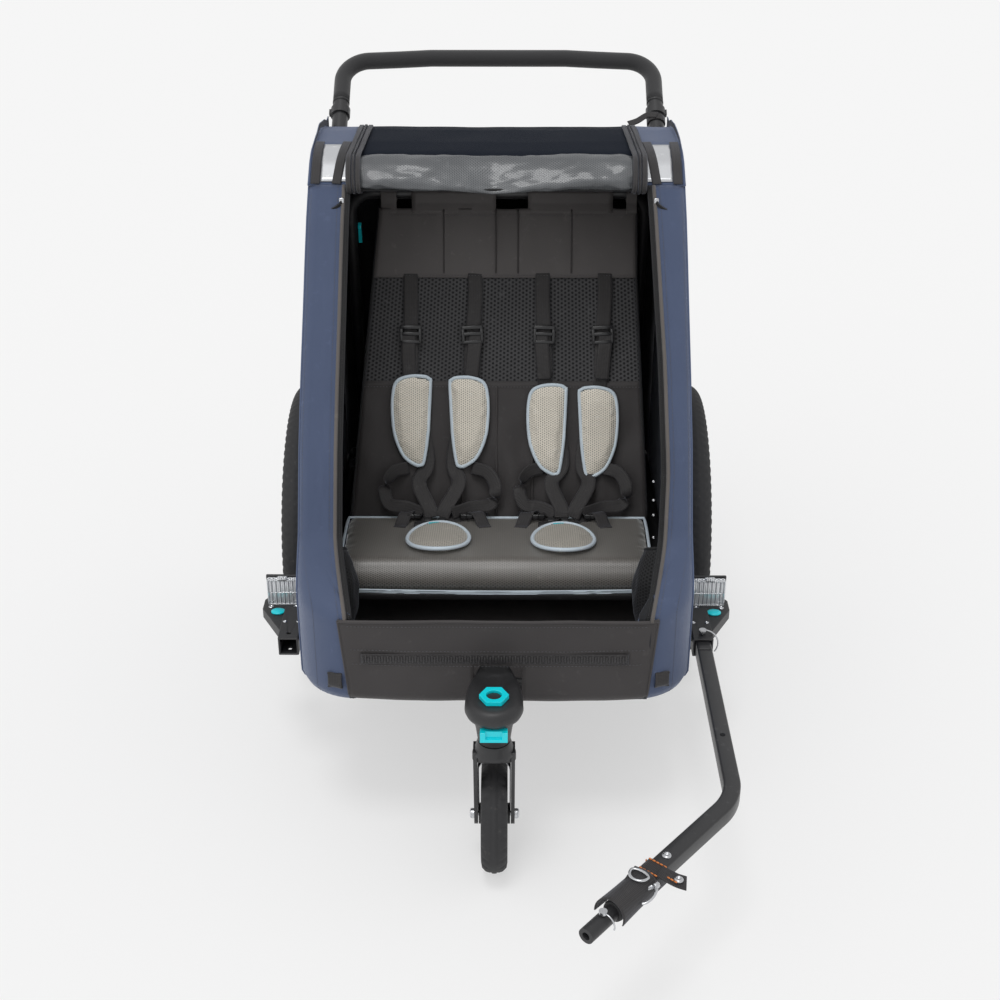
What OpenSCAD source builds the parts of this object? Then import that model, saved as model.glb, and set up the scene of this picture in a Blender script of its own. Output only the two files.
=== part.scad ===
// Two-seat child bicycle trailer with a tow arm, a front caster, a folding cage and a push handle.
// Drawn with y = 0 at the wheel axle, -y towards the bicycle, then shifted so that the origin is
// under the middle of the whole trailer, on the ground.

/* [Wheels] */
// Outer diameter of a rear wheel
wheel_d = 500; // [480:5:510]
// Width of the rear tyre
tyre_w = 47; // [40:1:50]
// Distance between the middle planes of the two rear wheels
track = 700; // [696:1:710]
// Number of spokes in a rear wheel
spoke_count = 20; // [12:2:28]
// Diameter of the caster wheel
caster_d = 182; // [150:2:190]
// Width of the caster wheel
caster_w = 40; // [30:1:44]

/* [Body] */
// Outside width of the fabric body
body_w = 605; // [605:1:606]
// Height of the roof above the ground
roof_z = 963; // [960:1:966]
// Thickness of the fabric walls
wall = 3; // [2:0.5:3]
// Width of the front panel's flat middle
nose_w = 422; // [400:1:424]

/* [Frame] */
// Diameter of the base frame tube
base_tube_d = 25; // [20:1:25]
// Diameter of the cage tube
cage_tube_d = 24; // [20:1:24]
// Diameter of the seat hoop tube
hoop_tube_d = 22; // [18:1:22]

/* [Handle] */
// Diameter of the handlebar tube
handle_d = 22; // [19:1:22]
// Diameter of the foam grip
foam_d = 30; // [26:1:32]
// Slope of the handlebar above horizontal
handle_tilt = 34.2; // [30:0.1:36]
// Distance between the middles of the two handlebar legs
handle_span = 568; // [566:1:568]

/* [Tow arm] */
// Side of the square tow arm
arm_side = 25; // [20:1:25]
// Angle by which the arm turns in towards the hitch
arm_bend = 40; // [30:1:45]
// Diameter of the hitch plug
plug_d = 22; // [20:1:24]
// Diameter of the bore in the hitch plug
plug_bore_d = 11; // [8:0.5:12]
// Depth of the bore in the hitch plug
plug_bore_l = 22; // [10:1:26]

/* [Hidden] */
$fn = 64;

// Wheels and axle
wheel_r = wheel_d / 2;
wheel_x = track / 2;
rim_r = wheel_r - tyre_w + 4;
axle_r = 6.35;
axle_bore_r = 6.43;
axle_tube_end = 316;
axle_tip = 384;
brake_ring_r = 36;
brake_slot_circle = 28;
brake_slots = 12;
brake_pin_r = 3;

// Base frame
base_r = base_tube_d / 2;
base_z = 250 + 2 * base_r;
rail_x = 286;
rail_front = -500;
rail_back = 222;
bow_bend = 85;
bow_y = rail_front - bow_bend;
rear_tube_y = 205;
panel_bottom = 268;

// Fold pivots: the cage turns at the front one, the seat hoop at the rear one
pivot_z = 305;
cage_pivot_y = -452;
hoop_pivot_y = 150;
knuckle_r = 13;
pin_r = 4;
pin_gap = 0.05;
bead = 0.3;

// Cage and handle
cage_r = cage_tube_d / 2;
cage_x = handle_span / 2;
sleeve_r = 14;
sleeve_y = 200;
sleeve_z = 930;
sleeve_low = -140;
sleeve_top = 62;
collar_at = 40;
collar_r = 17.5;
handle_low = -60;
handle_bend = 50;
handle_reach = 169;
front_bar_y = 5;
front_bar_z = 933;

// Seat hoop
hoop_r = hoop_tube_d / 2;
hoop_x = 256;
hoop_top_y = 60;
hoop_top_z = 857;
hoop_bend = 40;
hoop_length = norm([hoop_top_y - hoop_pivot_y, hoop_top_z - pivot_z]);
hoop_lean = atan2(hoop_pivot_y - hoop_top_y, hoop_top_z - pivot_z);
latch_at = 495;
latch_pin_r = 2.5;

// Fabric body: the front edge of its side, from the nose up to the roof, as [y, z]
side_x = body_w / 2;
nose_y = -606;
nose_r = side_x - nose_w / 2;
nose_top = 405;
front_edge = [
    [-500, panel_bottom], [-514, 335], [-505, 400], [-480, 463], [-408, 590], [-338, 678],
    [-268, 756], [-208, 826], [-160, 878], [-112, 920]];
roof_line = [[-72, 948], [-45, 958], [0, roof_z], [80, roof_z], [140, 952], [172, 938]];
rear_line = [[198, 905], [216, 700], [224, 500], [224, 290], [222, panel_bottom]];
return_in = 246;
floor_half = 264;

// Seat
seat_half = 240;
seat_bar_x = 262;
seat_rear_y = -195;
seat_rear_z = 352;
seat_tilt = 11;
seat_depth = 241;
back_foot_y = -185;
back_foot_z = 345;
back_lean = 24;
back_half = 236;
back_height = 544;
strap_xs = [-149, -42, 82, 182];
strap_w = 25;
buckle_x = 105;

// Caster
steer_y = -700;
trail = 37;
caster_r = caster_d / 2;
stem_r = 10;
housing_r = 43;
housing_top = 329;

// Tow arm
arm_x = 337;
arm_z = 250;
socket_half = 13;
socket_outer = 16.5;
socket_front = -442;
socket_back = -345;
arm_back = -353;
arm_turn_y = -790;
arm_turn_r = 100;
arm_slope_l = 222;
arm_steps = 16;
arm_pin_y = -426;
arm_end = [
    arm_x - arm_turn_r * (1 - cos(arm_bend)) - arm_slope_l * sin(arm_bend),
    arm_turn_y - arm_turn_r * sin(arm_bend) - arm_slope_l * cos(arm_bend)];
elastomer_l = 28;
elastomer_r = 13;
plug_r = plug_d / 2;
plug_l = 55;
cross_pin_at = elastomer_l + 20;

// The origin lies under the middle of the whole length, from the hitch's tip to the foam grip's back
tip_y = arm_end[1] - (elastomer_l + plug_l) * cos(arm_bend) - plug_r * sin(arm_bend);
back_y = sleeve_y + handle_reach * cos(handle_tilt) + foam_d / 2;
shift_y = -(tip_y + back_y) / 2;

navy = [0.30, 0.36, 0.50];
charcoal = [0.24, 0.24, 0.25];
black = [0.10, 0.10, 0.11];
teal = [0.0, 0.72, 0.78];
silver = [0.75, 0.76, 0.78];
pad_grey = [0.70, 0.68, 0.63];

module at_origin() {
    translate([0, shift_y, 0])
        children();
}

module both_sides() {
    children();
    mirror([1, 0, 0])
        children();
}

// Draws its children once, on the left (side = 1) or on the right (side = -1)
module on_side(side) {
    if (side > 0)
        children();
    else
        mirror([1, 0, 0])
            children();
}

module along_x(r, length) {
    rotate([0, 90, 0])
        cylinder(r = r, h = length, center = true);
}

// A plate whose outline is given as [y, z], between x = from and x = to
module yz_plate(from, to) {
    translate([from, 0, 0])
        rotate([90, 0, 90])
            linear_extrude(height = to - from)
                children();
}

// A round tube that starts at the origin along +x and turns in the xy plane. Each step is
// [straight length, angle of the bend after it, radius of that bend]. A weld bead joins them.
module bent_tube(r, steps, i = 0) {
    if (i < len(steps)) {
        length = steps[i][0];
        angle = steps[i][1];
        bend = steps[i][2];
        turn = angle < 0 ? -1 : 1;
        from = i > 0 ? bead : 0;
        to = angle != 0 ? length - bead : length;
        translate([from, 0, 0])
            rotate([0, 90, 0])
                cylinder(r = r, h = to - from);
        if (i > 0)
            along_x(r + 0.05, 4 * bead);
        translate([length, 0, 0]) {
            if (angle != 0) {
                along_x(r + 0.05, 4 * bead);
                mirror([0, turn < 0 ? 1 : 0, 0])
                    translate([0, bend, 0])
                        rotate([0, 0, -90])
                            rotate_extrude(angle = abs(angle))
                                translate([bend, 0])
                                    circle(r = r);
            }
            translate([bend * sin(abs(angle)), turn * bend * (1 - cos(angle)), 0])
                rotate([0, 0, angle])
                    bent_tube(r, steps, i + 1);
        }
    }
}

// A strip of even thickness that follows a line of [y, z] points, drawn below or behind it
module strip_outline(line, thick) {
    n = len(line);
    inner = [for (i = [n - 1 : -1 : 0])
        let (a = line[max(i - 1, 0)], b = line[min(i + 1, n - 1)], d = (b - a) / norm(b - a))
        line[i] + thick * [d[1], -d[0]]];
    polygon(concat(line, inner));
}

// ---- base ----

module base_frame() {
    color(black)
        at_origin() {
            translate([rail_x, rail_back, base_z])
                rotate([0, 0, -90])
                    bent_tube(base_r, [
                        [rail_back - rail_front, -90, bow_bend],
                        [2 * (rail_x - bow_bend), -90, bow_bend],
                        [rail_back - rail_front, 0, 0]]);
            translate([0, rear_tube_y, base_z])
                along_x(base_r - 1.5, 2 * rail_x);
            difference() {
                union() {
                    translate([0, 0, 250])
                        along_x(base_r, 2 * axle_tube_end);
                    both_sides()
                        translate([rail_x - 6, -10, 250])
                            cube([12, 20, 20]);
                }
                both_sides()
                    translate([290 + 4, 0, 250])
                        along_x(axle_bore_r, 52);
            }
        }
}

module pivot_bracket(y, inner_x) {
    cheek = 5;
    difference() {
        union() {
            translate([inner_x - cheek, y - 18, base_z - 12])
                cube([cheek, 36, pivot_z + 17 - base_z + 12]);
            translate([inner_x - 1, y - 18, base_z + base_r])
                cube([292 - inner_x, 36, 3.5]);
        }
        translate([inner_x, y, pivot_z])
            along_x(pin_r + pin_gap, 20);
        translate([rail_x, y, base_z])
            rotate([90, 0, 0])
                cylinder(r = base_r, h = 60, center = true);
    }
}

module fold_pivots() {
    color(silver)
        at_origin()
            both_sides() {
                pivot_bracket(cage_pivot_y, cage_x - cage_r - 0.4);
                pivot_bracket(hoop_pivot_y, hoop_x + hoop_r + 5.4);
                translate([cage_x - 2, cage_pivot_y, pivot_z])
                    along_x(pin_r, 2 * cage_r + 6);
                translate([hoop_x, hoop_pivot_y, pivot_z])
                    along_x(pin_r, 2 * hoop_r + 10.6);
                translate([cage_x + cage_r + 1.6, cage_pivot_y, pivot_z])
                    along_x(7, 2.4);
                translate([hoop_x - hoop_r - 2.2, hoop_pivot_y, pivot_z])
                    along_x(7, 3);
            }
}

// ---- fabric body ----

module floor_panel() {
    color(charcoal)
        at_origin()
            translate([0, 0, base_z - base_r + 1.5])
                linear_extrude(height = 4)
                    polygon([[floor_half, 190], [floor_half, -500], [201, -560],
                        [-201, -560], [-floor_half, -500], [-floor_half, 190]]);
}

module front_panel() {
    color(charcoal)
        at_origin()
            difference() {
                translate([-nose_w / 2, nose_y, 246])
                    cube([nose_w, 3.5, nose_top - 246]);
                translate([-37, nose_y - 1, 240])
                    cube([74, 6, 95]);
            }
}

module side_panel(side) {
    color(navy)
        at_origin()
            on_side(side) {
                yz_plate(side_x - wall, side_x)
                    polygon(concat(front_edge, [for (p = roof_line) p - [0, 8]], rear_line));
                yz_plate(return_in, side_x - wall)
                    strip_outline([for (i = [2 : len(front_edge) - 1]) front_edge[i]], 3.5);
                translate([nose_w / 2, nose_y + nose_r, panel_bottom])
                    rotate([0, 0, -90])
                        rotate_extrude(angle = 90)
                            translate([nose_r - 3.5, 0])
                                square([3.5, nose_top - panel_bottom]);
            }
}

module rear_panel() {
    outer = [for (p = rear_line) p + [5, 0]];
    color(charcoal)
        at_origin()
            difference() {
                yz_plate(-side_x, side_x)
                    strip_outline(outer, 3.5);
                both_sides()
                    translate([cage_x - sleeve_r - 5, 150, 840])
                        cube([60, 100, 100]);
            }
}

module roof_panel() {
    color(navy)
        at_origin()
            yz_plate(-side_x, side_x)
                strip_outline(roof_line, 4);
}

module rolled_cover() {
    color([0.6, 0.62, 0.63])
        at_origin()
            translate([0, -101, 929])
                along_x(27, 472);
}

// ---- seat ----

module on_seat() {
    translate([0, seat_rear_y, seat_rear_z])
        rotate([-seat_tilt, 0, 0])
            children();
}

module on_back() {
    translate([0, back_foot_y, back_foot_z])
        rotate([-back_lean, 0, 0])
            children();
}

module seat_front_bar() {
    color(black)
        at_origin()
            difference() {
                union() {
                    translate([0, -424, 340])
                        along_x(9, 2 * seat_bar_x);
                    both_sides() {
                        translate([seat_bar_x, -433, base_z + base_r + 2])
                            cube([9.4, 18, 60]);
                        translate([seat_bar_x + 2.2, -433, base_z - 8])
                            cube([9, 18, base_r + 12]);
                    }
                }
                both_sides()
                    translate([rail_x, -424, base_z])
                        rotate([90, 0, 0])
                            cylinder(r = base_r + 0.1, h = 40, center = true);
            }
}

module seat_cushion() {
    color([0.42, 0.41, 0.39])
        at_origin()
            on_seat()
                translate([-seat_half, -seat_depth, -42])
                    cube([2 * seat_half, seat_depth - 6, 42]);
}

module seat_back() {
    color(charcoal)
        at_origin()
            on_back()
                translate([-back_half, 0, 12])
                    cube([2 * back_half, 20, back_height - 12]);
}

module harness_webbing() {
    color(black)
        at_origin() {
            on_back()
                for (x = strap_xs)
                    translate([x - strap_w / 2, -3, 250])
                        cube([strap_w, 2, 280]);
            on_seat()
                for (x = [-buckle_x, buckle_x], to_side = [-1, 1])
                    translate([x + to_side * 56, -70, 3])
                        cube([60, strap_w, 2], center = true);
        }
}

module harness_pads() {
    color(pad_grey)
        at_origin() {
            on_back()
                for (x = strap_xs)
                    translate([x, -3.5, 0])
                        rotate([90, 0, 0])
                            linear_extrude(height = 14)
                                intersection() {
                                    translate([0, 170])
                                        scale([0.5, 1])
                                            circle(r = 75);
                                    translate([-35, 95])
                                        square([70, 150]);
                                }
            on_seat()
                for (x = [-buckle_x, buckle_x])
                    translate([x, -160, 0.5])
                        cylinder(r = 54, h = 12);
        }
}

module strap_adjusters() {
    color(black)
        at_origin()
            on_back()
                for (x = strap_xs)
                    translate([x - 17, -9, 312])
                        cube([34, 5.5, 22]);
}

module buckles() {
    color(black)
        at_origin()
            on_seat()
                for (x = [-buckle_x, buckle_x])
                    translate([x, -78, 0.5])
                        difference() {
                            translate([-22, -24, 0])
                                cube([44, 48, 16]);
                            translate([0, 0, 9])
                                cylinder(r = 9.1, h = 10);
                        }
}

module buckle_button(x) {
    color(teal)
        at_origin()
            on_seat()
                translate([x, -78, 12.5])
                    cylinder(r = 9, h = 6);
}

// ---- cage, handle and seat hoop ----

// A frame along the handle's slope: x across, y up the slope, from the point where the sleeve's axis starts
module on_sleeve() {
    translate([0, sleeve_y, sleeve_z])
        rotate([handle_tilt, 0, 0])
            children();
}

module cage_side() {
    difference() {
        union() {
            translate([cage_x, cage_pivot_y, pivot_z]) {
                rotate([90, 0, 90])
                    rotate([0, 0, 95])
                        bent_tube(cage_r, [[60, -44, 220], [478, -55, 110], [195, 0, 0]]);
                along_x(knuckle_r, 2 * cage_r - 0.8);
            }
            on_sleeve() {
                translate([cage_x, sleeve_low, 0])
                    rotate([-90, 0, 0])
                        cylinder(r = sleeve_r, h = sleeve_top - sleeve_low);
                translate([cage_x, collar_at - 8, 0])
                    rotate([-90, 0, 0])
                        cylinder(r = collar_r, h = 16);
            }
        }
        on_sleeve() {
            translate([cage_x, sleeve_low + 10, 0])
                rotate([-90, 0, 0])
                    cylinder(r = handle_d / 2 + pin_gap, h = 260);
            translate([cage_x + sleeve_r + 0.5, collar_at - 5.5, -4.5])
                cube([10, 11, 9]);
        }
        translate([cage_x, cage_pivot_y, pivot_z])
            along_x(pin_r + pin_gap, 60);
    }
}

module roll_cage() {
    color(black)
        at_origin() {
            both_sides()
                cage_side();
            translate([0, front_bar_y, front_bar_z])
                along_x(cage_r - 2, 2 * cage_x);
        }
}

module wrist_strap() {
    color(black)
        at_origin()
            on_sleeve()
                translate([cage_x, 14, 0]) {
                    difference() {
                        rotate([-90, 0, 0])
                            cylinder(r = 16.2, h = 12);
                        rotate([-90, 0, 0])
                            translate([0, 0, -1])
                                cylinder(r = sleeve_r + 0.1, h = 14);
                    }
                    translate([-52, 0, sleeve_r + 0.2])
                        cube([52, 12, 1.9]);
                }
}

module handle_path(r, low) {
    leg = handle_reach - handle_bend - low;
    on_sleeve()
        translate([cage_x, low, 0])
            rotate([0, 0, 90])
                bent_tube(r, [[leg, 90, handle_bend], [2 * (cage_x - handle_bend), 90, handle_bend],
                    [leg, 0, 0]]);
}

module handlebar() {
    color(silver)
        at_origin()
            handle_path(handle_d / 2, handle_low);
}

module foam_grip() {
    color(charcoal)
        at_origin()
            difference() {
                handle_path(foam_d / 2, sleeve_top + 4);
                handle_path(handle_d / 2 + pin_gap, sleeve_top - 4);
            }
}

module height_button(side) {
    color(black)
        at_origin()
            on_side(side)
                on_sleeve()
                    translate([cage_x + sleeve_r + 2.3, collar_at - 5.3, -4.3])
                        cube([3.7, 10.6, 8.6]);
}

module seat_hoop() {
    color(black)
        at_origin()
            difference() {
                translate([0, hoop_pivot_y, pivot_z])
                    rotate([90 + hoop_lean, 0, 0]) {
                        translate([hoop_x, 0, 0])
                            rotate([0, 0, 90])
                                bent_tube(hoop_r, [[hoop_length - hoop_bend, 90, hoop_bend],
                                    [2 * (hoop_x - hoop_bend), 90, hoop_bend],
                                    [hoop_length - hoop_bend, 0, 0]]);
                        both_sides() {
                            translate([hoop_x, 0, 0])
                                along_x(knuckle_r, 2 * hoop_r - 0.8);
                            translate([hoop_x - hoop_r - 3, latch_at, 0])
                                along_x(latch_pin_r, 8);
                        }
                    }
                both_sides()
                    translate([hoop_x, hoop_pivot_y, pivot_z])
                        along_x(pin_r + pin_gap, 60);
            }
}

module fold_latch(side) {
    thick = 6;
    color(teal)
        at_origin()
            on_side(side)
                translate([hoop_x - hoop_r - 0.3 - thick, hoop_pivot_y, pivot_z])
                    rotate([90 + hoop_lean, 0, 0])
                        translate([0, latch_at, 0])
                            rotate([0, 90, 0])
                                difference() {
                                    union() {
                                        cylinder(r = 7, h = thick);
                                        translate([-5, -30, 0])
                                            cube([10, 30, thick]);
                                    }
                                    translate([0, 0, -1])
                                        cylinder(r = latch_pin_r + 0.08, h = thick + 2);
                                }
}

// ---- rear wheels and their axles, drawn about the x axis on the left side ----

module wheel_frame(side) {
    at_origin()
        on_side(side)
            translate([wheel_x, 0, wheel_r])
                rotate([0, 90, 0])
                    children();
}

module tyre(side) {
    color(black)
        wheel_frame(side)
            rotate_extrude($fn = 96)
                translate([wheel_r - tyre_w / 2, 0])
                    difference() {
                        circle(r = tyre_w / 2, $fn = 48);
                        translate([-tyre_w, -tyre_w / 2])
                            square([tyre_w - (wheel_r - tyre_w / 2 - rim_r), tyre_w]);
                    }
}

module rim(side) {
    color(silver)
        wheel_frame(side)
            rotate_extrude($fn = 96)
                difference() {
                    translate([rim_r - 14, -13])
                        square([13.8, 26]);
                    translate([rim_r - 8, -9])
                        square([9, 18]);
                }
}

module hub(side) {
    flange = 18;
    color(silver)
        wheel_frame(side) {
            difference() {
                union() {
                    translate([0, 0, -30])
                        cylinder(r = 13, h = 62);
                    for (z = [-flange, flange])
                        translate([0, 0, z - 1.5])
                            cylinder(r = 24, h = 3);
                    translate([0, 0, -31])
                        cylinder(r = brake_ring_r, h = 7);
                }
                cylinder(r = axle_bore_r, h = 80, center = true);
                for (i = [0 : brake_slots - 1])
                    rotate([0, 0, i * 360 / brake_slots])
                        translate([brake_slot_circle, 0, -32])
                            cylinder(r = brake_pin_r + 0.6, h = 9, $fn = 24);
            }
            for (i = [0 : spoke_count - 1]) {
                face = i % 2 == 0 ? 1 : -1;
                length = rim_r - 14.2 - 24.2;
                rotate([0, 0, (i + 0.5) * 360 / spoke_count])
                    translate([24.2, 0, face * flange])
                        rotate([0, 90 + face * asin(12 / length), 0])
                            cylinder(r = 1.2, h = length, $fn = 16);
            }
        }
}

module axle(side) {
    color(silver)
        at_origin()
            on_side(side)
                difference() {
                    union() {
                        translate([(270 + axle_tip) / 2, 0, wheel_r])
                            along_x(axle_r, axle_tip - 270);
                        translate([axle_tip + 3.25, 0, wheel_r])
                            along_x(15, 6.5);
                    }
                    translate([axle_tip + 4, 0, wheel_r])
                        along_x(6.05, 5.1);
                    translate([axle_tip + 6, 0, wheel_r])
                        along_x(6.05, 5.1);
                }
}

module axle_button(side) {
    color(teal)
        at_origin()
            on_side(side)
                translate([axle_tip + 6.65, 0, wheel_r])
                    along_x(6, 4.7);
}

// ---- parking brake ----

module brake_brackets() {
    color(black)
        at_origin()
            both_sides() {
                difference() {
                    translate([rail_x - 5, 50, 228])
                        cube([10, 20, base_z - base_r - 228]);
                    translate([rail_x, 60, 238])
                        along_x(6.05, 30);
                }
                difference() {
                    translate([299, base_r + 0.2, 240])
                        cube([14, 26, 20]);
                    translate([306, brake_slot_circle, 250])
                        along_x(brake_pin_r + pin_gap, 30);
                }
            }
}

module brake_pedal() {
    color(black)
        at_origin() {
            translate([0, 60, 238])
                along_x(6, 604);
            translate([168, 64, 234])
                cube([12, 62, 8]);
            translate([138, 126, 229])
                cube([72, 40, 14]);
        }
}

module brake_pin(side) {
    color(silver)
        at_origin()
            on_side(side)
                translate([(296 + 318.5) / 2, brake_slot_circle, 250])
                    along_x(brake_pin_r, 22.5);
}

// ---- wheel guards, each cast with a socket for the tow arm ----

module wheel_guard(side) {
    color(black)
        at_origin()
            on_side(side)
                difference() {
                    union() {
                        translate([arm_x - socket_outer, socket_front, arm_z - socket_outer])
                            cube([2 * socket_outer, socket_back - socket_front, 2 * socket_outer]);
                        translate([rail_x - 10, socket_front + 6, base_z - base_r - 4.2])
                            cube([arm_x - rail_x, 84, 4]);
                        translate([0, 0, 237])
                            linear_extrude(height = 19)
                                polygon([[352, -410], [394, -334], [394, -306], [384, -290],
                                    [322, -290], [322, -346], [352, -346]]);
                        translate([330, -313, 256])
                            cube([58, 5, 52]);
                    }
                    translate([arm_x - socket_half, socket_front - 1, arm_z - socket_half])
                        cube([2 * socket_half, socket_back - socket_front - 6, 2 * socket_half]);
                    translate([arm_x, arm_pin_y, arm_z])
                        cylinder(r = brake_pin_r + 0.1, h = 60, center = true);
                }
}

module guard_reflectors() {
    color([0.92, 0.93, 0.94])
        at_origin()
            both_sides()
                translate([333, -321.2, 256.2])
                    cube([52, 8, 47]);
}

// ---- caster ----

module caster_housing() {
    color(black)
        at_origin()
            difference() {
                union() {
                    translate([0, 0, 306])
                        linear_extrude(height = housing_top - 306) {
                            translate([0, steer_y])
                                circle(r = housing_r);
                            polygon([[-housing_r, steer_y], [housing_r, steer_y], [34, -640],
                                [32, -571], [-32, -571], [-34, -640]]);
                        }
                    translate([0, steer_y, housing_top])
                        cylinder(r1 = housing_r, r2 = housing_r - 6, h = 4);
                    translate([0, steer_y, 262])
                        cylinder(r1 = 24, r2 = 30.5, h = 44);
                    translate([-32, -612, 258])
                        cube([64, 41, 48]);
                }
                translate([0, steer_y, 250])
                    cylinder(r = stem_r + pin_gap, h = 100);
                translate([0, bow_y, base_z])
                    along_x(base_r + 0.05, 80);
            }
}

module caster_bush() {
    color(teal)
        at_origin()
            translate([0, steer_y, housing_top + 4.1])
                difference() {
                    cylinder(r = 22, h = 7, $fn = 6);
                    translate([0, 0, -1])
                        cylinder(r = stem_r + 1.2, h = 9);
                }
}

module caster_latch() {
    color(teal)
        at_origin()
            translate([-20, steer_y - 43, 286])
                difference() {
                    cube([40, 13, 17]);
                    translate([20, 43, -20])
                        cylinder(r1 = 27.5, r2 = 34, h = 44);
                    translate([8, -1, 5])
                        cube([24, 5, 13]);
                }
}

module caster_fork() {
    wheel_y = steer_y + trail;
    color(silver)
        at_origin() {
            translate([0, steer_y, 238])
                cylinder(r = stem_r, h = 98);
            translate([0, steer_y, 240])
                cylinder(r1 = 31, r2 = 24, h = 20);
            both_sides()
                difference() {
                    yz_plate(25.3, 31) {
                        polygon([[steer_y - 14, 246], [steer_y + 14, 246], [wheel_y + 16, caster_r],
                            [wheel_y - 16, caster_r]]);
                        translate([wheel_y, caster_r])
                            circle(r = 16);
                    }
                    translate([28, wheel_y, caster_r])
                        along_x(4.05, 20);
                }
        }
}

module caster_axle() {
    color(silver)
        at_origin()
            translate([0, steer_y + trail, caster_r]) {
                along_x(4, 63);
                for (x = [-33.2, 33.2])
                    translate([x, 0, 0])
                        along_x(8, 4);
            }
}

module caster_wheel_frame() {
    at_origin()
        translate([0, steer_y + trail, caster_r])
            rotate([0, 90, 0])
                children();
}

module caster_hub() {
    color(charcoal)
        caster_wheel_frame()
            difference() {
                union() {
                    cylinder(r = 60, h = 10, center = true);
                    cylinder(r = 16, h = 48, center = true);
                    difference() {
                        cylinder(r = 64, h = 30, center = true);
                        cylinder(r = 56, h = 32, center = true);
                    }
                }
                cylinder(r = 4.08, h = 60, center = true);
            }
}

module caster_tyre() {
    color(black)
        caster_wheel_frame()
            rotate_extrude($fn = 96)
                polygon([[64.1, -15], [68, -caster_w / 2], [82, -caster_w / 2 + 1], [88.5, -12],
                    [caster_r, -3], [caster_r, 3], [88.5, 12], [82, caster_w / 2 - 1],
                    [68, caster_w / 2], [64.1, 15]]);
}

// ---- tow arm and hitch ----

// A point on one side of the tow arm, after a turn and a straight length beyond it
function arm_edge(turn, side, beyond) =
    let (r = arm_turn_r + side * arm_side / 2)
    [r * cos(turn) - arm_turn_r - beyond * sin(turn), -r * sin(turn) - beyond * cos(turn)];

module tow_arm() {
    color(black)
        at_origin()
            difference() {
                translate([arm_x, arm_turn_y, arm_z - arm_side / 2])
                    linear_extrude(height = arm_side)
                        polygon(concat(
                            [[-arm_side / 2, arm_back - arm_turn_y], [arm_side / 2, arm_back - arm_turn_y]],
                            [for (i = [0 : arm_steps]) arm_edge(i * arm_bend / arm_steps, 1, 0)],
                            [arm_edge(arm_bend, 1, arm_slope_l), arm_edge(arm_bend, -1, arm_slope_l)],
                            [for (i = [arm_steps : -1 : 0]) arm_edge(i * arm_bend / arm_steps, -1, 0)]));
                for (y = [arm_pin_y, -690])
                    translate([arm_x, y, arm_z])
                        cylinder(r = brake_pin_r + 0.1, h = 60, center = true);
            }
}

module arm_pin() {
    color(silver)
        at_origin()
            translate([arm_x, arm_pin_y, 0]) {
                translate([0, 0, 228])
                    cylinder(r = brake_pin_r, h = 42);
                translate([0, 0, 270])
                    cylinder(r = 6, h = 5);
                translate([0, 0, 248])
                    rotate([90, 0, 0])
                        rotate([0, 0, -35])
                            rotate_extrude(angle = 115)
                                translate([26.5, 0])
                                    circle(r = 1.3, $fn = 16);
            }
}

// A frame along the hitch: +y points forward along the plug, from the end of the tow arm
module on_hitch() {
    translate([arm_end[0], arm_end[1], arm_z])
        rotate([0, 0, 180 - arm_bend])
            children();
}

module hitch_rod(r, from, to) {
    on_hitch()
        translate([0, from, 0])
            rotate([-90, 0, 0])
                cylinder(r = r, h = to - from);
}

module hitch_elastomer() {
    color(black)
        at_origin()
            difference() {
                hitch_rod(elastomer_r, 0.4, elastomer_l - 0.4);
                hitch_rod(5, -1, elastomer_l + 1);
            }
}

module hitch_core() {
    color(silver)
        at_origin()
            hitch_rod(4.8, 2, elastomer_l - 2);
}

module hitch_plug() {
    color(charcoal)
        at_origin()
            difference() {
                hitch_rod(plug_r, elastomer_l, elastomer_l + plug_l);
                hitch_rod(plug_bore_d / 2, elastomer_l + plug_l - plug_bore_l, elastomer_l + plug_l + 1);
                on_hitch()
                    translate([0, cross_pin_at, 0])
                        cylinder(r = brake_pin_r + pin_gap, h = 40, center = true);
            }
}

module hitch_pin() {
    color(silver)
        at_origin()
            on_hitch()
                translate([0, cross_pin_at, 0]) {
                    translate([0, 0, -15])
                        cylinder(r = brake_pin_r, h = 28);
                    translate([0, 0, 13])
                        cylinder(r = 5.5, h = 4);
                    translate([-4.7, 0, 0])
                        rotate([90, 0, 0])
                            rotate([0, 0, 65])
                                rotate_extrude(angle = 130)
                                    translate([14, 0])
                                        circle(r = 1.2, $fn = 16);
                }
}

module safety_strap() {
    on_arm = -58;
    color(black)
        at_origin()
            on_hitch()
                translate([0, on_arm, 0])
                    difference() {
                        union() {
                            translate([-16, -15, -15.5])
                                cube([32, 30, 31]);
                            translate([-34, -12, 6])
                                cube([18, 24, 3]);
                        }
                        translate([-12.8, -20, -12.8])
                            cube([25.6, 40, 25.6]);
                    }
}

module strap_hardware() {
    color(silver)
        at_origin()
            on_hitch()
                translate([0, -30, 17.6]) {
                    rotate_extrude()
                        translate([11, 0])
                            circle(r = 2, $fn = 24);
                    translate([30, 0, -17.6])
                        rotate([90, 0, 90])
                            rotate_extrude()
                                translate([12, 0])
                                    circle(r = 2, $fn = 24);
                }
}

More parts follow.
